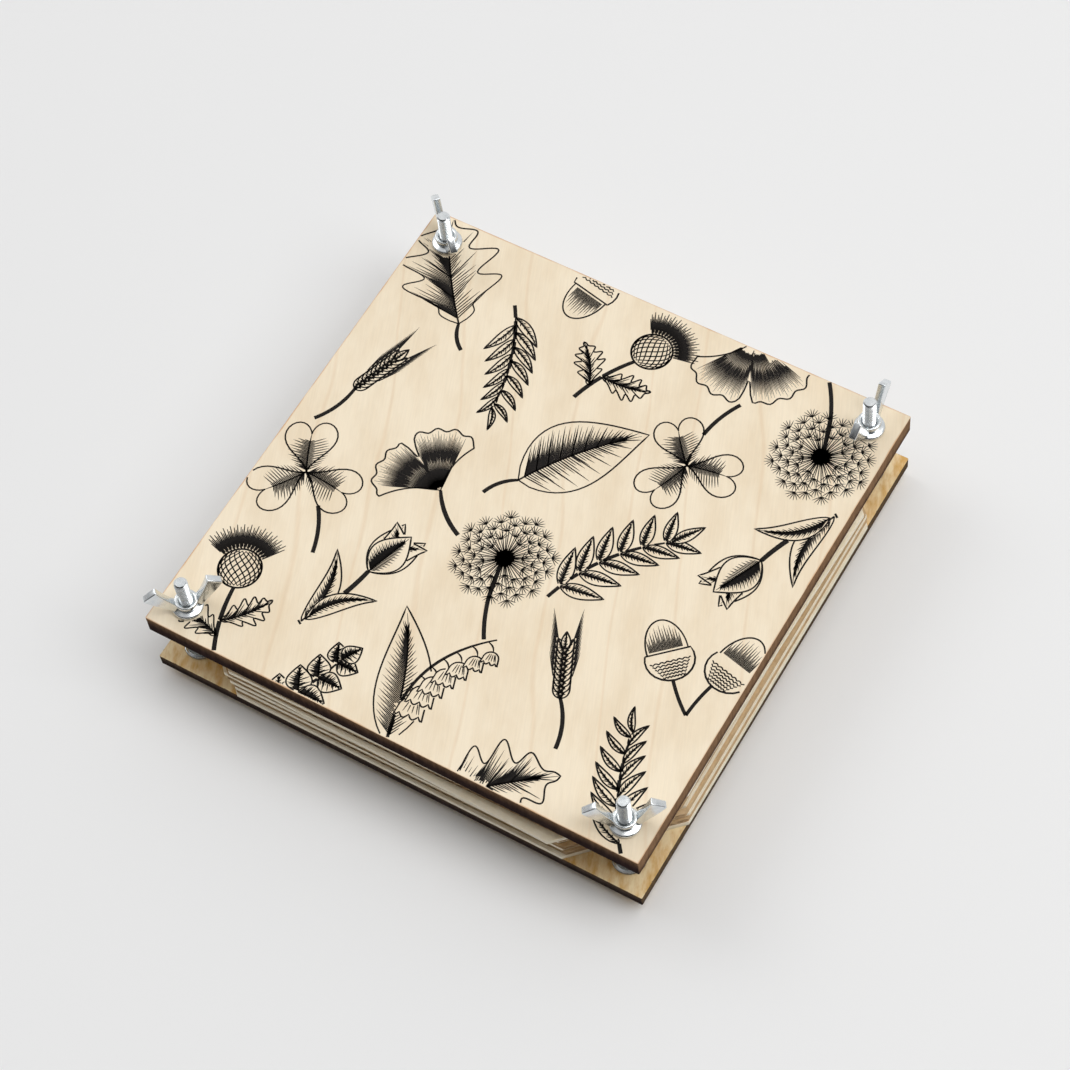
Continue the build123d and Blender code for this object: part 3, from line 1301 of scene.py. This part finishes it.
@dataclass(frozen=True)
class Twig:
    """A bowed stem with leaves that grow smaller up to one at the tip."""

    stem: Stalk
    leaf: Leaf
    tilt: float  # of the leaves from the stem, in degrees
    joints: int
    paired: bool  # two leaves at each joint, or one by turns left and right
    last_share: float = 0.6  # of the lowest leaf's size
    leafy_from: float = 0.12  # along the stem
    leafy_to: float = 0.96

    def draw(self) -> Drawing:
        """Draw the stem, then the leaves upwards.

        Returns:
            The drawing.
        """
        art = Drawing()
        stem = art.stalk(self.stem)
        places = np.linspace(self.leafy_from, self.leafy_to, self.joints)
        shares = np.linspace(1, self.last_share, self.joints)
        for number, (place, share) in enumerate(zip(places, shares)):
            tilts = (self.tilt, -self.tilt)
            for tilt in tilts if self.paired else tilts[number % 2:][:1]:
                art.leaf(at_share(stem, place), UPWARDS + tilt, self.leaf.scaled(share))
        art.leaf(stem[-1], UPWARDS, self.leaf.scaled(self.last_share))
        return art


@dataclass(frozen=True)
class LoneLeaf:
    """One large leaf on a short stalk."""

    leaf: Leaf
    stalk: Stalk = Stalk((0, 8.0), 0.8, taper=0.7)

    def draw(self) -> Drawing:
        """Draw the stalk, then the leaf.

        Returns:
            The drawing.
        """
        art = Drawing()
        stalk = art.stalk(self.stalk)
        art.leaf(stalk[-1], UPWARDS, self.leaf)
        return art


@dataclass(frozen=True)
class AcornPair:
    """Two nuts with hatched sides in scaly cups, on a forked stalk."""

    stalk: float = 6.5
    stalk_bow: float = 0.6
    stalk_weight: float = 2.0
    lean: float = 28.0  # degrees from upright
    nut_half_width: float = 4.4
    nut_half_length: float = 7.2
    nut_rise: float = 9.5  # of its middle above the stalk
    hatches: int = 27
    hatch_span: tuple[float, float] = (-0.85, 0.75)  # of the nut's half width
    hatch_rise: float = 0.85  # of the way to the outline, at the most
    hatch_reach: tuple[float, ...] = (1.0, 0.6, 0.85, 0.45)  # of that rise, by turns
    cup_half_width: float = 5.3
    cup_depth: float = 5.0
    cup_rise: float = 7.1
    cup_wrap: float = 0.62  # of half a turn, to each side of the cup's foot
    scale_rows: int = 6
    scales_in_row: int = 7
    scale_spacing: float = 0.72
    scale_height: float = 0.4
    row_narrowing: float = 0.09

    def nut(self, art: Drawing, foot: np.ndarray, lean: float) -> None:
        """Draw a nut: an ellipse, and hatching from its middle towards its tip.

        Args:
            art: the drawing.
            foot: where the nut hangs.
            lean: its turn in degrees.
        """
        middle = np.array((0, self.nut_rise))
        art.shape(foot + spun(middle + ring(self.nut_half_width, self.nut_half_length), lean))
        across = np.linspace(*self.hatch_span, self.hatches)
        tops = self.hatch_rise * np.sqrt(1 - across ** 2) * np.resize(self.hatch_reach, self.hatches)
        feet = middle + np.stack([across * self.nut_half_width, 0 * across], axis=1)
        heads = feet + np.stack([0 * across, tops * self.nut_half_length], axis=1)
        art.stroke(foot + spun(straight(feet, heads), lean), weight=0.6, start=1.0, end=0.1)

    def cup(self, art: Drawing, foot: np.ndarray, lean: float) -> None:
        """Draw a cup over the nut's foot: an arc, and rows of scales that are bumps of |sin|.

        Args:
            art: the drawing.
            foot: where the nut hangs.
            lean: its turn in degrees.
        """
        edge = np.linspace(-self.cup_wrap, self.cup_wrap, 15) * math.pi
        cup = np.stack([self.cup_half_width * np.sin(edge), -self.cup_depth * np.cos(edge)], axis=1)
        art.shape(foot + spun(cup + (0, self.cup_rise), lean), weight=1.2)
        way = np.linspace(-1, 1, 30)
        bumps = self.scale_height * np.abs(np.sin(self.scales_in_row / 2 * math.pi * way))
        for row in range(self.scale_rows):
            width = self.nut_half_width * (1 - self.row_narrowing * row)
            level = self.cup_rise - self.scale_spacing * (row + 1)
            scales = np.stack([width * way, level + bumps], axis=1)
            art.stroke(foot + spun(scales, lean), weight=0.9, start=0.8, end=0.8)

    def draw(self) -> Drawing:
        """Draw each stalk, with its nut and cup leant to its side.

        Returns:
            The drawing.
        """
        art = Drawing()
        for lean in (-self.lean, self.lean):
            cup_middle = away(UPWARDS + lean, self.stalk + self.cup_rise)
            art.stalk(Stalk(tuple(cup_middle), self.stalk_bow, self.stalk_weight))
            foot = away(UPWARDS + lean, self.stalk)
            self.nut(art, foot, lean)
            self.cup(art, foot, lean)
        return art


@dataclass(frozen=True)
class GinkgoLeaf:
    """A fan with a waved rim, a notch and hollow sides, and veins that spread from the stalk."""

    stalk: Stalk = Stalk((0, 16.0), 1.2, 2.6, 0.7, foot=(-3.0, 0))
    radius: float = 21.0
    half_spread: float = 64.0  # degrees from upright
    side_hollow: float = 1.8
    shoulder_drop: float = 0.16  # of the radius, where the rim meets the sides
    notch_depth: float = 0.38
    notch_width: float = 3.5  # in degrees
    wave: float = 0.03
    wave_rate: float = 0.42  # of the wave's angle in radians to the heading in degrees
    veins: int = 84
    vein_inset: float = 12.0  # degrees from the sides
    vein_reach: tuple[float, ...] = (0.96, 0.84, 0.92, 0.88)  # of the way to the rim, by turns
    vein_start: float = 0.06  # along a long vein
    fork_start: float = 0.55  # along a short one

    def rim(self, headings: np.ndarray) -> np.ndarray:
        """The fan's radius by heading: cut in at the notch, waved, and less by a sixth power at the sides.

        Args:
            headings: in degrees.

        Returns:
            The radius at each.
        """
        notch = 1 - self.notch_depth * np.exp(-((headings - UPWARDS) / self.notch_width) ** 2)
        wave = 1 + self.wave * np.sin(self.wave_rate * headings)
        shoulders = 1 - self.shoulder_drop * ((headings - UPWARDS) / self.half_spread) ** 6
        return self.radius * notch * wave * shoulders

    def draw(self) -> Drawing:
        """Draw the stalk, the fan, and long and short veins by turns.

        Returns:
            The drawing.
        """
        art = Drawing()
        hub = art.stalk(self.stalk)[-1]
        headings = np.linspace(UPWARDS - self.half_spread, UPWARDS + self.half_spread, 60)
        rim = hub + away(headings, self.rim(headings))
        right = bowed(hub, rim[0], self.side_hollow)[:-1]
        left = bowed(rim[-1], hub, self.side_hollow)[1:-1]
        art.shape(np.concatenate([right, rim, left]))
        spread = np.linspace(headings[0] + self.vein_inset, headings[-1] - self.vein_inset, self.veins)
        reach = self.rim(spread) * np.resize(self.vein_reach, self.veins)
        ends = hub + away(spread, reach)
        veins = straight(hub + away(spread, self.vein_start * reach), ends)
        forks = straight(hub + away(spread, self.fork_start * reach), ends)
        art.stroke(veins[::2], weight=0.6, start=0.9, end=0.2)
        art.stroke(forks[1::2], weight=0.6, start=0.1, end=0.3)
        return art


@dataclass(frozen=True)
class WheatEar:
    """Plump grains in two rows on a straw, each with a long whisker."""

    straw: Stalk = Stalk((0, 19.0), -1.5)
    rows: int = 9
    row_spacing: float = 2.1
    grain: Leaf = Leaf(6.8, 3.2, hatches=10)
    tilt: float = 24.0
    whisker: float = 12.0

    def draw(self) -> Drawing:
        """Draw the straw and the whiskers, then the grains upwards over them.

        Returns:
            The drawing.
        """
        art = Drawing()
        top = art.stalk(self.straw)[-1]
        joints = [(top + (0, row * self.row_spacing), tilt)
                  for row in range(self.rows) for tilt in (self.tilt, -self.tilt)]
        for foot, tilt in joints:
            tip = foot + away(UPWARDS + tilt, self.grain.length)
            end = tip + away(UPWARDS + tilt / 2, self.whisker)
            art.stroke(straight(tip[None], end[None]), weight=0.7, start=1.0, end=0.1)
        for foot, tilt in joints:
            art.leaf(foot, UPWARDS + tilt, self.grain)
        art.leaf(top + (0, self.rows * self.row_spacing), UPWARDS, self.grain)
        return art


@dataclass(frozen=True)
class Clover:
    """Three heart-shaped leaflets on a stalk, each hatched from its rib."""

    stalk: Stalk = Stalk((0, 0), -2.0, taper=0.6, foot=(4.0, -20.0))
    length: float = 12.6
    half_width: float = 5.8
    headings: tuple[float, ...] = (210, 330, 90)
    rib_share: float = 0.76  # of the leaflet's length
    rib_bow: float = 0.2
    rib_points: int = 20
    hatches: int = 24
    hatch_share: float = 0.84  # of the half width, where the hatching is widest
    hatch_span: tuple[float, float] = (0.05, 0.8)  # of half a wave of sine, from the rib's foot to its tip
    shaded_reach: tuple[float, ...] = (0.95, 0.55, 0.8, 0.4)
    lit_reach: tuple[float, ...] = (0.95, 0.3)

    def heart(self) -> np.ndarray:
        """The heart curve on its point: x = sin^3 a, y = 13 cos a - 5 cos 2a - 2 cos 3a - cos 4a, scaled.

        Returns:
            Its outline, with the point at the origin.
        """
        a = np.linspace(0, FULL_TURN, 48, endpoint=False)
        rise = 13 * np.cos(a) - 5 * np.cos(2 * a) - 2 * np.cos(3 * a) - np.cos(4 * a)
        rise = (rise - rise.min()) / (rise.max() - rise.min())
        return np.stack([self.half_width * np.sin(a) ** 3, self.length * rise], axis=1)

    def draw(self) -> Drawing:
        """Draw the stalk, then the leaflets with the upright one last.

        Returns:
            The drawing.
        """
        art = Drawing()
        art.stalk(self.stalk)
        wave = np.sin(np.pi * np.linspace(*self.hatch_span, self.rib_points))
        swell = (self.hatch_share * self.half_width * wave)[:, None]
        for heading in self.headings:
            art.shape(spun(self.heart(), heading - UPWARDS))
            tip = away(heading, self.rib_share * self.length)
            rib = bowed((0, 0), tip, self.rib_bow, self.rib_points)
            side = swell * away(heading + 90, 1.0)
            art.stroke(rib, weight=1.0, start=1.0, end=0.3)
            art.veins(rib, rib + side, self.hatches, weight=0.65, reach=self.shaded_reach)
            art.veins(rib, rib - side, self.hatches, weight=0.6, reach=self.lit_reach)
        return art


@dataclass(frozen=True)
class DandelionClock:
    """A ball of seeds on fine stalks, each with a tuft, round a dark middle."""

    stalk: Stalk = Stalk((0, 0), 1.5, foot=(-3.0, -24.0))
    radius: float = 12.5
    seeds: int = 60
    free_places: int = 8  # at the middle, before the first seed
    seed_turn: float = 137.508  # from one seed to the next, in degrees, which spreads them evenly
    thread_start: float = 0.12  # of the way to the seed
    dark_share: float = 0.26  # of the way to the seed
    tuft: float = 2.6
    tuft_turns: tuple[float, ...] = (-66, -44, -22, 0, 22, 44, 66)

    def draw(self) -> Drawing:
        """Draw the stalk, the seeds' threads, the dark middle and the tufts.

        Returns:
            The drawing.
        """
        art = Drawing()
        art.stalk(self.stalk)
        number = np.arange(self.seeds)
        headings = number * self.seed_turn
        shares = (number + self.free_places) / (self.seeds - 1 + self.free_places)
        tips = away(headings, self.radius * np.sqrt(shares))
        art.stroke(straight(self.thread_start * tips, tips), weight=0.55, start=1.0, end=0.5)
        art.stroke(straight(0 * tips, self.dark_share * tips), weight=1.8, start=1.0, end=0.3)
        for turn in self.tuft_turns:
            ends = tips + away(headings + turn, self.tuft)
            art.stroke(straight(tips, ends), weight=0.5, start=1.0, end=0.2)
        return art


@dataclass(frozen=True)
class Thistle:
    """A round head with a lattice of scales under a brush of florets, on a stem with jagged leaves."""

    stem: Stalk = Stalk((1, 22.0), 1.2, 2.6)
    leaf: Leaf = Leaf(15.0, 9.0, 0.8, -1.0, veins=5, hatches=26, lobes=5.0, lobe_depth=0.5, sweep=0.5)
    leaf_headings: tuple[float, ...] = (150, 32)
    leaf_places: tuple[float, ...] = (0.26, 0.47)  # along the stem
    head_radius: float = 6.0
    head_rise: float = 0.8  # of its middle above the stem, in radii
    florets: int = 54
    floret_start: float = 2.0
    floret_length: float = 13.0
    floret_reach: tuple[float, ...] = (1.0, 0.88, 1.06, 0.94)  # of that length, by turns
    half_spread: float = 56.0  # of the brush, in degrees
    lattice: int = 9  # spirals each way
    lattice_rise: float = 64.0  # degrees above and below the middle
    lattice_spread: float = 80.0  # degrees to both sides
    lattice_lean: float = 0.8  # degrees round the ball to a degree up it
    lattice_limit: float = 1.5  # radians from the middle, close to the ball's outline

    def draw(self) -> Drawing:
        """Draw the stem, leaves and brush, then the ball over the brush's foot, with spirals both ways.

        Returns:
            The drawing.
        """
        art = Drawing()
        stem = art.stalk(self.stem)
        for place, heading in zip(self.leaf_places, self.leaf_headings):
            art.leaf(at_share(stem, place), heading, self.leaf)
        middle = stem[-1] + (0, self.head_rise * self.head_radius)
        headings = UPWARDS + self.half_spread * np.linspace(-1, 1, self.florets)
        lengths = self.floret_length * np.resize(self.floret_reach, self.florets)
        florets = straight(middle + away(headings, self.floret_start), middle + away(headings, lengths))
        art.stroke(florets, weight=0.9, start=0.5, end=0.5)
        art.shape(middle + ring(self.head_radius, self.head_radius), weight=1.2)
        rise = np.radians(np.linspace(-self.lattice_rise, self.lattice_rise, 12))
        around = np.radians(np.linspace(-self.lattice_spread, self.lattice_spread, self.lattice))[:, None]
        for lean in (self.lattice_lean, -self.lattice_lean):
            turn = (around + lean * rise).clip(-self.lattice_limit, self.lattice_limit)
            level = np.broadcast_to(np.sin(rise), turn.shape)
            spirals = np.stack([np.cos(rise) * np.sin(turn), level], axis=-1)
            art.stroke(middle + self.head_radius * spirals, weight=0.8, start=0.6, end=0.6)
        return art


@dataclass(frozen=True)
class Tulip:
    """A cup of petals with lines that run up from its foot, on a stem with two long leaves."""

    stem: Stalk = Stalk((1, 24.0), -1.2, 3.0, 0.9)
    leaf_places: tuple[float, ...] = (0.03, 0.08)  # along the stem
    leaves: tuple[tuple[float, Leaf], ...] = (
        (116, Leaf(24.0, 6.0, bow=-3.0, hatches=40)),
        (62, Leaf(20.0, 5.6, bow=2.6, hatches=40)),
    )
    petals: tuple[tuple[float, Leaf], ...] = (
        (104, Leaf(17.5, 8.5, 0.85, hatches=40)),
        (76, Leaf(17.5, 8.5, 0.85, hatches=40)),
        (112, Leaf(17.0, 9.0, 0.85, -3.2, hatches=46)),
        (68, Leaf(17.0, 9.0, 0.85, 3.2, hatches=46)),
        (90, Leaf(15.5, 10.5, 0.85, hatches=50)),
    )

    def draw(self) -> Drawing:
        """Draw the stem and leaves, then the petals from the back ones to the front one.

        Returns:
            The drawing.
        """
        art = Drawing()
        stem = art.stalk(self.stem)
        for place, (heading, leaf) in zip(self.leaf_places, self.leaves):
            art.leaf(at_share(stem, place), heading, leaf)
        for heading, petal in self.petals:
            art.leaf(stem[-1], heading, petal)
        return art


@dataclass(frozen=True)
class LilyOfTheValley:
    """Bells that hang from an arched stem, beside one broad leaf."""

    leaf: Leaf = Leaf(36.0, 13.0, bow=-2.0, hatches=60)
    leaf_heading: float = 104.0
    stem: Stalk = Stalk((15.0, 33.0), 6.5, 1.8, 0.5)
    bells: int = 7
    bells_from: float = 0.38  # along the stem
    bells_to: float = 0.95
    bell_size: float = 3.2
    last_share: float = 0.6  # of the lowest bell's size
    hang: tuple[float, float] = (2.2, -2.2)
    hang_bow: float = 0.5
    skirt_spread: float = 1.12  # in bell sizes, like the three below
    skirt_drop: float = 1.45
    scallop_depth: float = 0.35
    rib_heights: tuple[float, float] = (-0.3, -1.3)
    rib_spreads: tuple[float, float] = (0.5, 0.9)  # of the places below, at the top and the foot
    ribs: tuple[float, ...] = (-0.6, -0.2, 0.2, 0.6, 0.8)

    def bell(self) -> np.ndarray:
        """A half round dome over a skirt with three scallops, hung from the origin, for a size of one.

        Returns:
            Its outline.
        """
        around = np.linspace(-0.5, 0.5, 13) * math.pi
        dome = np.stack([np.sin(around), np.cos(around) - 1], axis=1)
        rim = np.linspace(1, -1, 19)
        scallops = self.scallop_depth * np.abs(np.sin(1.5 * math.pi * rim))
        skirt = np.stack([self.skirt_spread * rim, -self.skirt_drop - scallops], axis=1)
        return np.concatenate([dome, skirt])

    def draw(self) -> Drawing:
        """Draw the leaf and the stem, then the bells upwards.

        Returns:
            The drawing.
        """
        art = Drawing()
        art.leaf((0, 0), self.leaf_heading, self.leaf)
        stem = art.stalk(self.stem)
        across = np.array(self.ribs)
        tops, feet = (np.stack([spread * across, np.full_like(across, height)], axis=1)
                      for spread, height in zip(self.rib_spreads, self.rib_heights))
        places = np.linspace(self.bells_from, self.bells_to, self.bells)
        for place, share in zip(places, np.linspace(1, self.last_share, self.bells)):
            size = share * self.bell_size
            knot = at_share(stem, place)
            crown = knot + self.hang
            art.stroke(bowed(knot, crown, self.hang_bow), weight=1.0)
            art.shape(crown + size * self.bell())
            art.stroke(crown + size * straight(tops, feet), weight=0.6)
        return art


WILLOW = Twig(Stalk((0, 36.0), 2.5, 2.2, 0.4), Leaf(12.5, 3.2, bow=0.6, hatches=12),
              tilt=40.0, joints=13, paired=False)
EUCALYPTUS = Twig(Stalk((0, 38.0), -2.5, 2.2, 0.4), Leaf(10.5, 9.2, veins=5, hatches=22),
                  tilt=58.0, joints=6, paired=True)
OLIVE = Twig(Stalk((0, 34.0), 3.0, 2.2, 0.4), Leaf(11.5, 4.0, hatches=22),
             tilt=46.0, joints=6, paired=True, last_share=0.8)
OAK = LoneLeaf(Leaf(34.0, 27.0, 0.7, 1.0, veins=5, hatches=64, lobes=4.0, lobe_depth=0.5, sweep=0.35))
BEECH = LoneLeaf(Leaf(30.0, 17.0, bow=1.5, veins=9, hatches=76))


@dataclass
class BotanicalPrint:
    """Line drawings of plants over the whole top board, staggered like bricks from column to column."""

    rows: int = 4
    fill_share: float = 1.04  # of its cell that a plant takes at the most
    largest_scale: float = 1.3
    margin: float = 0.3  # from the board's edge
    bolt_clearance: float = 4.7
    ink_thickness: float = 0.03
    columns: tuple[tuple[tuple[Plant, float], ...], ...] = (
        ((Thistle(), 20), (Clover(), 25), (WheatEar(), -20), (OAK, 35)),
        ((EUCALYPTUS, -30), (Tulip(), -18), (GinkgoLeaf(), 60), (WILLOW, 200), (AcornPair(), 140)),
        ((LilyOfTheValley(), 10), (DandelionClock(), 25), (BEECH, -40), (Thistle(), -25)),
        ((OAK, -50), (WheatEar(), 25), (OLIVE, -35), (Clover(), 160), (GinkgoLeaf(), 200)),
        ((WILLOW, 25), (AcornPair(), 15), (Tulip(), 155), (DandelionClock(), -150)),
    )

    def holds_ink(self, points: np.ndarray) -> np.ndarray:
        """Which points lie on the board and clear of the wing nuts.

        Args:
            points: any array of points.

        Returns:
            A mask over the points.
        """
        _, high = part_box("top_board")
        on_board = (np.abs(points) < high.x / MM - self.margin).all(axis=-1)
        bolts = np.array([mid_place(f"bolt_{corner}")[:2] for corner in CORNERS])
        distances = np.linalg.norm(points[..., None, :] - bolts, axis=-1)
        return on_board & (distances > self.bolt_clearance).all(axis=-1)

    def build(self, ink: Material) -> None:
        """Draw the plants, with each second column moved by half a row.

        Args:
            ink: the finish of the strokes.
        """
        low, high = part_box("top_board")
        side = (high.x - low.x) / MM
        cell = np.array((side / len(self.columns), side / self.rows))
        sheet = Drawing()
        for column, plants in enumerate(self.columns):
            for row, (plant, turn) in enumerate(plants):
                steps = np.array((column - (len(self.columns) - 1) / 2, row - (len(plants) - 1) / 2))
                sheet.place(plant.draw(), steps * cell, turn, self.fill_share * cell, self.largest_scale)
        ribbons = sheet.ribbons(high.z / MM + self.ink_thickness, self.holds_ink)
        make_piece("botanical_print", ribbons, ink, Body.PRESS_TOP.value, solid=False)


# Studio


@dataclass(frozen=True)
class SoftBox:
    """A square lamp that hangs over the press and faces it."""

    name: str
    direction: tuple[float, float, float]  # from the press
    size: float
    share: float  # of the light that makes a white table look white

    def hang(self, distance: float) -> None:
        """Hang the lamp, with the power that gives the table its share of light.

        Args:
            distance: from the press, in millimetres.
        """
        toward = Vector(self.direction).normalized()
        lamp = bpy.data.lights.new(self.name, "AREA")
        lamp.shape = "SQUARE"
        lamp.size = self.size * MM
        lamp.energy = self.share * (math.pi * distance * MM) ** 2 / toward.z
        light = put_in_scene(self.name, lamp)
        light.location = toward * distance * MM
        light.rotation_euler = toward.to_track_quat("Z", "Y").to_euler()


@dataclass
class Studio:
    """A pale table, soft light from above and from the right, and the camera."""

    camera_place: tuple[float, float, float] = (270.67, -353.98, 763.64)
    camera_aim: tuple[float, float, float] = (3.92, -4.71, 29.6)
    camera_roll: float = -8.165
    lens: float = 104.6
    sensor_width: float = 36.0
    table_colour: str = "ECECEC"
    table_roughness: float = 0.9
    table_half: float = 3000.0
    lamp_distance: float = 2500.0
    lamps: tuple[SoftBox, ...] = (
        SoftBox("key_soft_box", (0.22, 0.17, 1.0), 1600.0, 0.30),
        SoftBox("side_soft_box", (1.0, 0.25, 1.1), 1300.0, 0.19),
        SoftBox("fill_soft_box", (-1.0, 0.1, 1.0), 1170.0, 0.09),
    )
    sky_direction: tuple[float, float, float] = (-0.35, 0.75, 0.5)
    sky_span: tuple[float, float] = (-0.45, 0.95)  # cosines from that direction, from dim to bright
    sky_bright: float = 0.76
    sky_dim: float = 0.03

    def build(self) -> None:
        """Set up the table, the light and the camera."""
        self.table()
        self.sky()
        for lamp in self.lamps:
            lamp.hang(self.lamp_distance)
        self.camera()

    def table(self) -> None:
        """A wide, plain, matte sheet."""
        half = self.table_half * MM
        mesh = bpy.data.meshes.new("table")
        corners = [(-half, -half, 0), (half, -half, 0), (half, half, 0), (-half, half, 0)]
        mesh.from_pydata(corners, [], [(0, 1, 2, 3)])
        material, _, _ = new_material(
            "matte_white_table", Base_Color=linear(self.table_colour), Roughness=self.table_roughness)
        mesh.materials.append(material)
        table = put_in_scene("table", mesh)

    def sky(self) -> None:
        """A dim surround that is brighter behind the press than in front of it."""
        world = bpy.data.worlds.new("white_room")
        world.use_nodes = True
        tree = world.node_tree
        toward = Vector(self.sky_direction).normalized()
        place = add_node(tree, "ShaderNodeTexCoord").outputs["Generated"]
        facing = add_node(tree, "ShaderNodeVectorMath", {"operation": "DOT_PRODUCT"}, {0: place, 1: toward})
        strength = add_node(tree, "ShaderNodeMapRange", {"interpolation_type": "SMOOTHSTEP"}, {
            "Value": facing.outputs["Value"], "From Min": self.sky_span[0], "From Max": self.sky_span[1],
            "To Min": self.sky_dim, "To Max": self.sky_bright})
        background = tree.nodes["Background"]
        tree.links.new(strength.outputs["Result"], background.inputs["Strength"])
        background.inputs["Color"].default_value = (1, 1, 1, 1)
        bpy.context.scene.world = world

    def camera(self) -> None:
        """Look at the board from above, with the camera tipped sideways."""
        data = bpy.data.cameras.new("camera")
        data.lens = self.lens
        data.sensor_width = self.sensor_width
        place = Vector(self.camera_place) * MM
        look = Vector(self.camera_aim) * MM - place
        roll = Matrix.Rotation(math.radians(self.camera_roll), 3, "Z")
        turn = look.to_track_quat("-Z", "Y").to_matrix() @ roll
        camera = put_in_scene("camera", data)
        camera.matrix_world = Matrix.Translation(place) @ turn.to_4x4()
        bpy.context.scene.camera = camera


def main() -> None:
    """Build the press and its studio."""
    logging.basicConfig(level=logging.INFO, format="%(message)s")
    bpy.context.scene.view_settings.view_transform = "Standard"
    Studio().build()
    Boards().build()
    BotanicalPrint().build(PrintingInk().material())
    Stack().build()
    Hardware().build()


if __name__ == "__main__":
    main()
